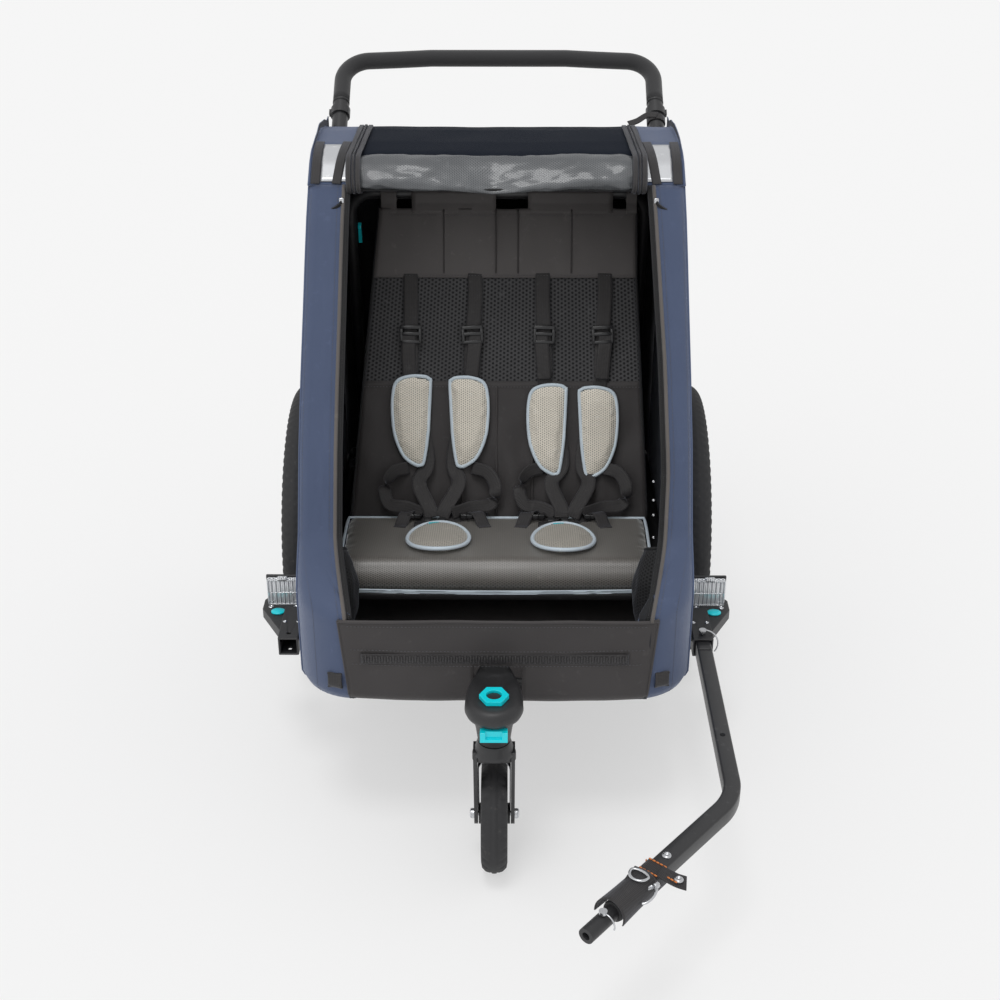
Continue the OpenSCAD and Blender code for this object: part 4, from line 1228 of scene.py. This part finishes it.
def make_straps():
    """The shoulder straps, hip straps, adjusters and slack loops."""
    for n, (top, bottom) in enumerate(STRAP_X):
        buckle = -BUCKLE_X + 2 if n < 2 else BUCKLE_X + 16
        lean = (bottom - top) / 170
        pad_x = SHOULDER_PADS[n][0]
        run = [back_out(top, 432, 1), back_out(top, 418, 6), back_out(top, 380, 6.5),
               back_out(lerp(top, bottom, 0.6), 316, 8), back_out(bottom, 262, 8), back_out(bottom, 240, 4),
               back_out(lerp(bottom, pad_x, 0.5), 170, 4), back_out(lerp(bottom, pad_x, 0.8), 100, 8)]
        side = -1 if n % 2 == 0 else 1
        run += [back_out(lerp(bottom, buckle, 0.45) + 6 * side, 66, 22),
                on_seat(lerp(bottom, buckle, 0.72), 26, 30), on_seat(buckle + 9 * side, 34, 14)]
        band = strap(f"shoulder_strap_{n + 1}", smooth_path(run), (1, 0, 0), 25)
        follow_back(band)
        if n == 0:
            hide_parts("harness_webbing")
        twin = [back_out(top + 3 * side, 326, 12), back_out(lerp(top, bottom, 0.7) + 4 * side, 296, 13),
                back_out(bottom + 3 * side, 262, 11), back_out(bottom + 2 * side, 246, 9)]
        end = strap(f"shoulder_strap_end_{n + 1}", smooth_path(twin), (1, 0, 0), 24)
        follow_back(end)
        lock = adjuster(f"strap_adjuster_{n + 1}", lerp(top, bottom, 0.55), 322, lean)
        if n == 0:
            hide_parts("strap_adjusters")
        hip_end = (-168, -14, 36, 190)[n]
        hip = [on_seat(hip_end, -2, 5), on_seat(lerp(hip_end, buckle, 0.3), 12, 13),
               on_seat(lerp(hip_end, buckle, 0.65), 26, 10), on_seat(buckle + 14 * side, 34, 12)]
        ride_slot(strap(f"hip_strap_{n + 1}", smooth_path(hip), (0, 1, 0.2), 24), "root")
        spare = [on_seat(lerp(hip_end, buckle, 0.35), 14, 17), on_seat(lerp(hip_end, buckle, 0.2), 30, 20),
                 on_seat(lerp(hip_end, buckle, 0.1), 52, 8), on_seat(lerp(hip_end, buckle, 0.05), 66, 6)]
        ride_slot(strap(f"hip_strap_end_{n + 1}", smooth_path(spare), (1, 0.3, 0), 22), "root")
        slack = [back_out(bottom + 4 * side, 92, 10), back_out(bottom + 30 * side, 84, 20),
                 back_out(bottom + 44 * side, 58, 28), back_out(bottom + 36 * side, 30, 30),
                 on_seat(lerp(bottom, buckle, 0.35) + 22 * side, 14, 26),
                 on_seat(lerp(bottom, buckle, 0.7) + 10 * side, 30, 20)]
        ride_slack = strap(f"slack_loop_{n + 1}", smooth_path(slack), (0.3, 0.5, 0.8), 22)
        follow_back(ride_slack)
        slide = joined(f"hip_adjuster_{n + 1}", [
            rounded_block("bar", on_seat(lerp(hip_end, buckle, 0.42), 20, 16) + SEAT_TURN @ Vector(
                (dx * MM, 0, 0)), (4, 32, 7), gloss_plastic, SEAT_TURN, 1.2) for dx in (-10, 0, 10)] + [
            rounded_block("rail", on_seat(lerp(hip_end, buckle, 0.42), 20 + dy, 16),
                          (24, 4, 7), gloss_plastic, SEAT_TURN, 1.2) for dy in (-14, 14)])
        ride_slot(slide, "root")


def make_buckles():
    """The two buckles round their teal buttons."""
    bodies = []
    for x in (-BUCKLE_X, BUCKLE_X):
        low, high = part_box("buckle_button_left" if x > 0 else "buckle_button_right")
        centre = (low + high) / 2
        parts = [rounded_block("shell", centre - SEAT_TURN @ Vector((0, 0, 0.0065)), (44, 46, 15),
                               black_plastic, SEAT_TURN, 4, 3, 0.9)]
        for side in (-1, 1):
            spot = centre + SEAT_TURN @ Vector((side * 0.026, 0.008, -0.004))
            parts.append(rounded_block("tongue", spot, (16, 20, 8), black_plastic, SEAT_TURN, 2))
            spot = centre + SEAT_TURN @ Vector((side * 0.012, 0.03, -0.002))
            parts.append(rounded_block("tongue", spot, (13, 18, 7), black_plastic, SEAT_TURN, 2))
        rim = [centre + SEAT_TURN @ Vector((0.0115 * math.cos(a), 0.0115 * math.sin(a), 0.0012))
               for a in [k * math.tau / 28 for k in range(28)]]
        parts.append(tube("rim", rim, 1.1, black_plastic, closed=True, sides=8))
        bodies.append(joined("buckle_left" if x > 0 else "buckle_right", parts))
    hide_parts("buckles")
    for body in bodies:
        ride_slot(body, "root")


def make_pads():
    """The shoulder pads and lap pads, with their bindings."""
    pads, trims = [], []
    for n, (x, side, height) in enumerate(SHOULDER_PADS):
        shape = pad_outline()

        def place(px, py, out, x=x, side=side, height=height):
            return back_out(x + side * px, height + py, 10 + out - 3 * ((px - 33) / 33) ** 2)

        # The shoulder pads wear the pad mesh painted lighter, as if lit.
        pad = slab(f"shoulder_pad_{n + 1}", shape, place, 7, painted_lit_pad_mesh)
        pads.append((pad, 4, 5))
        rim = [place(px, py * 1.01, 3.5) for px, py in shape]
        trims.append(tube(f"shoulder_pad_binding_{n + 1}", rim, 3.2, pale_binding, closed=True, sides=8))
    for n, (x, middle) in enumerate(((-BUCKLE_X + 10, 138), (BUCKLE_X + 6, 142))):
        shape = [(50 * math.cos(a), 68 * math.sin(a)) for a in [k * math.tau / 44 for k in range(44)]]

        def place(px, py, out, x=x, middle=middle):
            return on_seat(x + px, middle + py, 7 + out + 5 * (py / 68) ** 2)

        pad = slab(f"lap_pad_{n + 1}", shape, place, 8, lap_mesh)
        pads.append((pad, 4, 5))
        rim = [place(px * 1.02, py * 1.02, 4.5) for px, py in shape]
        trims.append(tube(f"lap_pad_binding_{n + 1}", rim, 3.4, pale_binding, closed=True, sides=8))
    return pads, trims


def make_side_pockets():
    """Mesh pockets that bulge into the cabin from the front returns."""
    for side, tag in ((1, "left"), (-1, "right")):
        def place(u, v, side=side):
            bulge = math.sin(math.pi * u) ** 0.7 * math.sin(math.pi * (0.12 + 0.72 * v)) ** 0.8
            sag = 3 * ripple(400 * u, 300 * v, 0, 60, 4 + side)
            front = max(-504, y_on_front(lerp(286, 462, v)) + 12)
            return at(side * (256 - (40 + sag) * bulge), lerp(front, -426, u), lerp(286, 452 - 30 * u, v))

        pocket = cloth_sheet(f"side_pocket_{tag}", place, 24, 24, pocket_mesh, 1.2)
        if side < 0:
            pocket.data.flip_normals()
        ride_slot(pocket, "root")
        hem = [place(i / 24, 1) for i in range(25)]
        ride_slot(tube(f"side_pocket_hem_{tag}", hem, 2.4, zip_tape, sides=8), "root")


# ---- wheels ----

def tread_height(turn, across):
    """The height of the tread in millimetres, at a turn of the wheel and an angle across the tyre."""
    lean = abs(across)
    if lean > 1.25:
        return 0.0
    if 0.13 < lean < 0.22 or 0.56 < lean < 0.66:
        return 0.0
    row = 0.5 if lean > 0.6 else 0.0
    blocks = 96 * turn / math.tau + row + 0.9 * lean
    return 1.3 if blocks % 1.0 < 0.62 else 0.0


def make_tyre(side, tag):
    """A side wheel's treaded tyre and its valve."""
    around, across = 480, 36
    section, ring = 22.6, 226.5
    points = []
    for i in range(around):
        turn = i * math.tau / around
        for k in range(across):
            angle = k * math.tau / across
            lean = math.remainder(angle, math.tau)
            reach = section + tread_height(turn, lean)
            radius = ring + reach * math.cos(angle)
            points.append(at(side * WHEEL_X + reach * math.sin(angle), radius * math.cos(turn),
                             AXLE_Z + radius * math.sin(turn)))
    faces = ring_faces(around, across, closed=True)
    tyre = outward(new_piece(f"treaded_tyre_{tag}", points, faces, tread_rubber))
    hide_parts(f"tyre_{tag}")
    ride_slot(tyre, f"wheel_{tag}")
    valve = turned(f"valve_{tag}", [(3, 0), (3, 22), (2.4, 24), (2.4, 32), (3.2, 33), (3.2, 38), (1, 39)],
                   at(side * WHEEL_X, 0, AXLE_Z + 202), Matrix.Rotation(math.pi, 3, "X"), black_plastic, 16)
    ride_slot(valve, f"wheel_{tag}")


def make_caster_tyre():
    """The caster's tyre, with scalloped shoulders."""
    around = 240
    profile = [(64, -14), (67, -19.5), (74, -20.2), (82, -18.8), (87.6, -13), (89.4, -7.5), (89.2, -4.4),
               (90.9, -3.2), (91, 0), (90.9, 3.2), (89.2, 4.4), (89.4, 7.5), (87.6, 13), (82, 18.8),
               (74, 20.2), (67, 19.5), (64, 14)]
    points = []
    for i in range(around):
        turn = i * math.tau / around
        for radius, x in profile:
            scallop = 1.7 * max(0.0, math.cos(26 * turn)) if 8 < abs(x) < 20 and radius > 80 else 0
            reach = radius - scallop
            points.append(at(x - math.copysign(scallop * 0.7, x), CASTER_Y + CASTER_TRAIL
                             + reach * math.cos(turn), CASTER_R + reach * math.sin(turn)))
    faces = ring_faces(around, len(profile), closed=True)
    tyre = outward(new_piece("caster_tread", points, faces, tread_rubber))
    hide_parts("caster_tyre")
    ride_slot(tyre, "caster_wheel")


def make_caster_housing():
    """The moulded housing: a dome round the steerer that runs back into the body's nose."""
    levels = [(262, 24, 24, -676), (285, 27, 27, -672), (298, 30, 29, -660), (304, 35, 32, -632),
              (309, 40.5, 34, -600), (315, 43, 34, -580), (322, 42.5, 33, -574), (328, 40, 31, -573),
              (331.5, 37, 26, -574), (332.5, 32, 21, -577), (332.5, 22, 14, -600)]
    around = 64
    points = []
    for z, radius, tail_half, tail_y in levels:
        for k in range(around):
            a = k * math.tau / around
            c, s = math.cos(a), math.sin(a)
            if s <= 0:
                points.append(at(radius * c, CASTER_Y + radius * s, z))
            else:
                square = math.copysign(abs(c) ** 0.45, c)
                narrow = lerp(radius, tail_half, smooth_step(s * 1.2))
                low = 0.62 * max(0, z - 300) * smooth_step(s * 1.1)
                points.append(at(narrow * square, CASTER_Y + (tail_y - CASTER_Y) * s ** 0.8, z - low))
    faces = ring_faces(len(levels), around)
    shell = outward(new_piece("housing_shell", points, faces, black_plastic))
    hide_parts("caster_housing")
    ride_slot(shell, "root")


def make_fork_shoulders():
    """The moulded crown that slopes out from the neck to the two fork blades."""
    levels = [(224, 32.5, 13), (236, 32.5, 16), (243, 30.5, 19), (252, 26.5, 21), (258, 24.5, 22)]
    around = 48
    points = []
    for z, half, deep in levels:
        for k in range(around):
            c, s = math.cos(k * math.tau / around), math.sin(k * math.tau / around)
            points.append(at(half * math.copysign(abs(c) ** 0.55, c), CASTER_Y + 2 + deep * s, z))
    faces = ring_faces(len(levels), around)
    crown = outward(new_piece("fork_shoulders", points, faces, black_plastic))
    ride_slot(crown, "caster")


def make_caster_trim():
    """The bright band inside the fork, and the heads of the axle's bolts."""
    wheel_y = CASTER_Y + CASTER_TRAIL
    path = [at(-24, wheel_y, CASTER_R + 14)]
    for z, y in ((140, wheel_y - 10), (180, wheel_y - 18), (198, wheel_y - 22)):
        path.append(at(-24, y, z))
    arch = [at(-24 * math.cos(a), lerp(wheel_y - 22, CASTER_Y + 4, math.sin(a)), 198 + 30 * math.sin(a))
            for a in [k * math.pi / 14 for k in range(1, 14)]]
    mirrored = [Vector((-p.x, p.y, p.z)) for p in reversed(path)]
    trim = strap("fork_inner_band", path + arch + mirrored, (0, 1, 0), 20, alloy, 1.6)
    ride_slot(trim, "caster")
    for side, tag in ((1, "left"), (-1, "right")):
        turn = Matrix.Rotation(side * math.pi / 2, 3, "Y")
        head = screw_head(f"caster_bolt_{tag}", at(side * 35.2, wheel_y, CASTER_R), turn, steel, 7.5, 3)
        ride_slot(head, "caster")


# ---- guards, tow arm and hitch ----

def make_guard_trim(side, tag):
    """A prism reflector in its frame, a teal badge without marks, and screws and rivets."""
    parts = []
    x = side * 359
    body = rounded_block(f"reflector_{tag}", at(x, -317.4, 281.5), (54, 7.6, 50), prism, edge=3.2, segments=4)
    if side > 0:
        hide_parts("guard_reflectors")
    ride_slot(body, "root")
    for dx, dz, w, h in ((-25.5, 0, 3, 50), (25.5, 0, 3, 50), (0, 23.5, 52, 3), (0, -23.5, 52, 3),
                         (0, 26, 16, 8), (0, 0, 48, 1.6)):
        parts.append(rounded_block("bar", at(x + dx, -320.4, 280 + dz), (w, 5, h), prism, edge=0.8))
    ride_slot(joined(f"reflector_frame_{tag}", parts), "root")
    badge = turned(f"guard_badge_{tag}", [(9.5, -0.5), (9.5, 1.2), (8.6, 2.0), (0.1, 2.6)],
                   at(side * 366, -346, 257), Matrix.Diagonal((1.25, 1, 1)), teal_plastic, 36)
    ride_slot(badge, "root")
    for n, (px, py) in enumerate(((380, -330), (338, -330))):
        ride_slot(screw_head(f"guard_screw_{tag}_{n + 1}", at(side * px, py, 256), FACE_UP, steel, 4.5, 2),
                  "root")
    for n, px in enumerate((326, 348)):
        spot = at(side * px, -392, 266.5)
        ride_slot(screw_head(f"socket_rivet_{tag}_{n + 1}", spot, FACE_UP, steel, 3.4, 1.6), "root")


def y_on_front(z):
    """The y of the body's front edge at z."""
    return y_on(FRONT_EDGE, z)


def make_rivets():
    """Bright rivets that hold the fabric to the cage inside the cabin."""
    for side, tag in ((1, "left"), (-1, "right")):
        heads = [screw_head("head", at(side * 244, y_on_front(z) + 9, z), FACE_FRONT, steel, 2.2, 1.2)
                 for z in (470, 500, 520, 545)]
        rivets = joined(f"cabin_rivets_{tag}", heads)
        follow_cage(rivets)


ARM_END = (ARM_X - ARM_CURVE * (1 - math.cos(ARM_BEND)) - ARM_TAIL * math.sin(ARM_BEND),
           ARM_CURVE_Y - ARM_CURVE * math.sin(ARM_BEND) - ARM_TAIL * math.cos(ARM_BEND))


def on_hitch(across, forward, up):
    """A point by the tow arm's end: forward runs on along the arm, towards the bicycle."""
    x = ARM_END[0] - forward * math.sin(ARM_BEND) - across * math.cos(ARM_BEND)
    y = ARM_END[1] - forward * math.cos(ARM_BEND) + across * math.sin(ARM_BEND)
    return at(x, y, AXLE_Z + up)


def make_tow_arm():
    """The square tube with its rounded edges, bent once, and on top a dark disc painted as the shade in the
    spare pin hole.
    """
    half, corner = 12.4, 3.2
    ring = []
    for quarter in range(4):
        middle = (quarter + 0.5) * math.pi / 2
        for k in range(4):
            a = (quarter + k / 3) * math.pi / 2
            ring.append(((math.copysign(half - corner, math.cos(middle)) + corner * math.cos(a)) * MM,
                         (math.copysign(half - corner, math.sin(middle)) + corner * math.sin(a)) * MM))
    path = [at(ARM_X, y, AXLE_Z) for y in (-353, -355, -480, -640, -788)]
    for k in range(17):
        a = k / 16 * ARM_BEND
        path.append(at(ARM_X - ARM_CURVE + ARM_CURVE * math.cos(a), ARM_CURVE_Y - ARM_CURVE * math.sin(a),
                       AXLE_Z))
    path += [at(*(Vector(path_end) + Vector((math.sin(ARM_BEND), math.cos(ARM_BEND))) * back), AXLE_Z)
             for path_end, back in ((ARM_END, 220), (ARM_END, 110), (ARM_END, 2), (ARM_END, 0))]
    arm = swept("tow_arm_tube", path, ring, powder_coat, across=Vector((0, 0, 1)))
    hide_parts("tow_arm")
    ride_slot(arm, "root")
    # The spare pin hole is painted shade: a dark disc of the black lining cloth, with no hole cut.
    hole = turned("arm_pin_hole_painted_shade", [(4.2, -0.6), (4.2, 0.3), (3.6, 0.45), (0.1, 0.2)],
                  at(ARM_X, -690, AXLE_Z + half), FACE_UP, lining, 28)
    ride_slot(hole, "root")
    plate = [at(ARM_X, y, AXLE_Z + half + 0.4) for y in (-448, -456, -466)]
    rub = strap("arm_wear_plate", plate, (1, 0, 0), 21, black_plastic, 1.2)
    ride_slot(rub, "root")


def make_hitch():
    """The safety strap, its rings and hook, the cloth hood and the joint's rubber sleeve."""
    forward = (on_hitch(0, 1, 0) - on_hitch(0, 0, 0)).normalized()
    across = (on_hitch(1, 0, 0) - on_hitch(0, 0, 0)).normalized()
    turn = Matrix((across, forward, Vector((0, 0, 1)))).transposed()
    wrap = []
    for k in range(64):
        a = k * math.tau / 64
        c, s = math.cos(a), math.sin(a)
        wrap.append(on_hitch(15 * math.copysign(abs(c) ** 0.4, c), -58, 15 * math.copysign(abs(s) ** 0.4, s)))
    band = strap("safety_strap_wrap", wrap, forward, 30, webbing, 2.6, closed=True)
    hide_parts("safety_strap")
    ride_slot(band, "root")
    rows = []
    for shift in (-11, 11):
        rows.append(stitches("row", [on_hitch(x, -58 + shift, 17.0) for x in range(-13, 14)], orange_thread,
                             5, 0.8, 1.2))
        rows.append(stitches("row", [on_hitch(16.8, -58 + shift, z) for z in range(-13, 14)], orange_thread,
                             5, 0.8, 1.2))
    tail_row = [on_hitch(-20 - k, -58, 13.2) for k in range(22)]
    rows.append(stitches("row", tail_row, orange_thread, 5, 0.8, 1.2))
    ride_slot(joined("safety_strap_stitches", rows), "root")
    tail = [on_hitch(-12, -58, 17), on_hitch(-22, -60, 14), on_hitch(-34, -66, 8), on_hitch(-44, -74, 3)]
    ride_slot(strap("safety_strap_tail", smooth_path(tail), forward, 22), "root")
    snap = screw_head("tail_snap", on_hitch(-36, -67, 9.5), FACE_UP, steel, 6.5, 3)
    ride_slot(snap, "root")
    flap = [on_hitch(6, -46, 17), on_hitch(4, -34, 19), on_hitch(2, -20, 18), on_hitch(0, -8, 15.5)]
    ride_slot(strap("safety_strap_flap", smooth_path(flap), across, 24), "root")
    hood = cloth_sheet(
        "hitch_hood", lambda u, v: on_hitch(
            (20 + 2.5 * v * v) * math.sin(lerp(-1.75, 1.75, u)), lerp(-45, 31, v) + 5 * (2 * u - 1) ** 2 * v,
            (19.5 + 2 * v + 0.8 * ripple(30 * u, 30 * v, 0, 9, 6)) * math.cos(lerp(-1.75, 1.75, u))),
        24, 24, webbing, 1.6)
    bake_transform(hood)
    ring = [on_hitch(13 * math.cos(a), -30 + 13 * math.sin(a) * (1 if math.sin(a) > 0 else 0.45), 24)
            for a in [k * math.tau / 40 for k in range(40)]]
    d_ring = tube("strap_d_ring", ring, 2.0, steel, closed=True)
    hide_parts("strap_hardware")
    ride_slot(d_ring, "root")
    hook = []
    for k in range(41):
        a = k * math.tau / 46
        hook.append(on_hitch(-22 - 9 * math.sin(a) * 0.8, -20 + 15 * math.cos(a), 9 - 4 * math.cos(a)))
    gate = [on_hitch(-22, -34, 12), on_hitch(-16, -24, 10), on_hitch(-18, -10, 7)]
    parts = [tube("bow", hook, 1.8, steel),
             turned("swivel", [(4, -4), (4.6, -3), (4.6, 3), (3.4, 4.5), (2, 6)], on_hitch(-22, -36, 13),
                    turn @ Matrix.Rotation(math.pi / 2, 3, "X"), steel, 20),
             tube("gate", gate, 1.3, steel)]
    ride_slot(joined("snap_hook", parts), "root")
    bolt = screw_head("arm_bolt", on_hitch(0, -92, 12.5), FACE_UP, steel, 6.5, 3)
    ride_slot(bolt, "root")
    cover = [(11, 0), (14.6, 1), (15.2, 5), (14.4, 8), (15.2, 11), (14.4, 14), (15.2, 17), (14.4, 20),
             (15.2, 24), (14.2, 27.5), (10.5, 28)]
    bellows = turned("elastomer_sleeve", [(r, h) for r, h in cover], on_hitch(0, 0, 0),
                     turn @ Matrix.Rotation(-math.pi / 2, 3, "X"), tread_rubber, 48)
    cut_bellows(bellows)
    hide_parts("hitch_elastomer")
    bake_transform(bellows)


def cut_bellows(piece):
    """Cuts each of the sleeve's edges once, for more rings."""
    shape = bmesh.new()
    shape.from_mesh(piece.data)
    bmesh.ops.subdivide_edges(shape, edges=shape.edges[:], cuts=1, use_grid_fill=True)
    shape.to_mesh(piece.data)
    shape.free()


def make_wrist_strap():
    """The webbing wrist strap round one sleeve of the push bar."""
    low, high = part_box("wrist_strap")
    tilt, middle = HANDLE_TILT, 20
    centre_y, centre_z = HANDLE_Y + middle * math.cos(tilt), HANDLE_Z + middle * math.sin(tilt)
    side_x = -HANDLE_X if (low + high).x < 0 else HANDLE_X
    up = Vector((0, -math.sin(tilt), math.cos(tilt)))
    ring = [at(side_x + 15.6 * math.cos(a), centre_y, centre_z) + up * 15.6 * MM * math.sin(a)
            for a in [k * math.tau / 40 for k in range(40)]]
    slope = (0, math.cos(tilt), math.sin(tilt))
    band = strap("wrist_strap_ring", ring, slope, 14, webbing, 2.2, closed=True)
    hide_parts("wrist_strap")
    ride_slot(band, "cage")
    toward = -1 if side_x > 0 else 1
    tail = [at(side_x, centre_y, centre_z) + up * 0.0185]
    for across, back, rise in ((16, 2, 13), (34, 8, 4), (50, 14, 0)):
        tail.append(at(side_x + toward * across, centre_y - back, centre_z + rise))
    ride_slot(strap("wrist_strap_tail", smooth_path(tail), slope, 13), "cage")


def make_grip():
    """The foam grip: bent at both corners, with its middle bowed slightly outwards."""
    half, reach, bend, bow = HANDLE_X, HANDLE_REACH, HANDLE_CORNER, 3.4
    leg = [on_handle(half, s) for s in (67, 80, 100)]
    leg += [on_handle(half - bend + bend * math.cos(a), reach - bend - bow + bend * math.sin(a))
            for a in [k / 14 * math.radians(84) for k in range(15)]]
    middle = [on_handle(x, reach + bow) for x in (124, 112, 60, 0)]
    side = leg + [on_handle(180, reach - 0.4)] + middle
    side += [Vector((-p.x, p.y, p.z)) for p in reversed(side[:-1])]
    grip = tube("foam_grip_cover", side, GRIP_RADIUS, foam, sides=40)
    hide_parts("foam_grip")
    ride_slot(grip, "handle")


def make_handle_ends():
    """Dark collars where the foam ends."""
    profile = [(11.6, 0), (15.2, 0), (15.2, 4), (14.4, 5.5), (11.6, 5.5)]
    turn = Matrix.Rotation(HANDLE_TILT - math.pi / 2, 3, "X")
    for side, tag in ((1, "left"), (-1, "right")):
        spot = on_handle(side * HANDLE_X, 62)
        cap = turned(f"sleeve_cap_{tag}", profile, spot, turn, black_plastic, 40)
        shape = bmesh.new()
        shape.from_mesh(cap.data)
        caps = [f for f in shape.faces if len(f.verts) > 4]
        bmesh.ops.delete(shape, geom=caps, context="FACES_ONLY")
        edges = [e for e in shape.edges if len(e.link_faces) == 1]
        bmesh.ops.bridge_loops(shape, edges=edges)
        bmesh.ops.recalc_face_normals(shape, faces=shape.faces)
        shape.to_mesh(cap.data)
        shape.free()
        ride_slot(cap, "cage")


# ---- stage, light and camera ----

def make_stage():
    """The pale floor, the even sky and two soft lamps."""
    reach = 40
    corners = [(-reach, -reach, 0), (reach, -reach, 0), (reach, reach, 0), (-reach, reach, 0)]
    floor = new_piece("studio_floor", corners, [(0, 1, 2, 3)], [])
    pale = bpy.data.materials.new("pale floor")
    pale.use_nodes = True
    shader = pale.node_tree.nodes["Principled BSDF"]
    shader.inputs["Base Color"].default_value = (0.4, 0.4, 0.4, 1)
    shader.inputs["Roughness"].default_value = 1.0
    shader.inputs["Specular IOR Level"].default_value = 0.0
    shader.inputs["Emission Color"].default_value = (1, 1, 1, 1)
    shader.inputs["Emission Strength"].default_value = 0.5
    floor.data.materials.append(pale)
    world = bpy.data.worlds.new("studio")
    world.use_nodes = True
    world.node_tree.nodes["Background"].inputs["Color"].default_value = (1, 1, 1, 1)
    world.node_tree.nodes["Background"].inputs["Strength"].default_value = 0.72
    bpy.context.scene.world = world
    lamps = [(-20, 16, 0.75, 18), (-35, 45, 0.45, 50)]
    for turn, tilt, power, spread in lamps:
        data = bpy.data.lights.new("soft_sun", "SUN")
        data.energy = power
        data.angle = math.radians(spread)
        lamp = bpy.data.objects.new("soft_sun", data)
        lamp.rotation_euler = (math.radians(tilt), 0, math.radians(turn))
        bpy.context.scene.collection.objects.link(lamp)
    bpy.context.scene.view_settings.view_transform = "Standard"


def make_camera():
    """The camera, in front of the trailer and above it."""
    data = bpy.data.cameras.new("camera")
    data.lens = 53.94
    camera = bpy.data.objects.new("camera", data)
    camera.location = (0.018, -2.1101, 1.6052)
    target = Vector((0.005, 0.3701, 0.2864))
    camera.rotation_euler = (target - camera.location).to_track_quat("-Z", "Y").to_euler()
    bpy.context.scene.collection.objects.link(camera)
    bpy.context.scene.camera = camera


make_camera()
make_stage()
finish_frame()
cushion = make_cushion()
pads, pad_bindings = make_pads()
stuff([(cushion, 6, 3)] + pads)
cut_cushion(cushion)
ride_slot(cushion, "root")
give_way(cushion)
for index, (pad, _, _) in enumerate(pads):
    if index == 0:
        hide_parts("harness_pads")
    if index < len(SHOULDER_PADS):
        follow_back(pad)
        follow_back(pad_bindings[index])
    else:
        ride_slot(pad, "root")
        ride_slot(pad_bindings[index], "root")
        give_way(pad)
        give_way(pad_bindings[index])
dress_cushion()
make_floor_cloth()
make_front()
make_rear()
make_roof()
make_roll()
make_back()
make_straps()
make_buckles()
make_side_pockets()
make_caster_tyre()
make_caster_housing()
make_fork_shoulders()
make_caster_trim()
make_grip()
make_tow_arm()
make_hitch()
make_wrist_strap()
make_handle_ends()
make_rivets()
for side, tag in ((1, "left"), (-1, "right")):
    make_side(side, tag)
    make_corner_patches(side, tag)
    make_tyre(side, tag)
    make_guard_trim(side, tag)
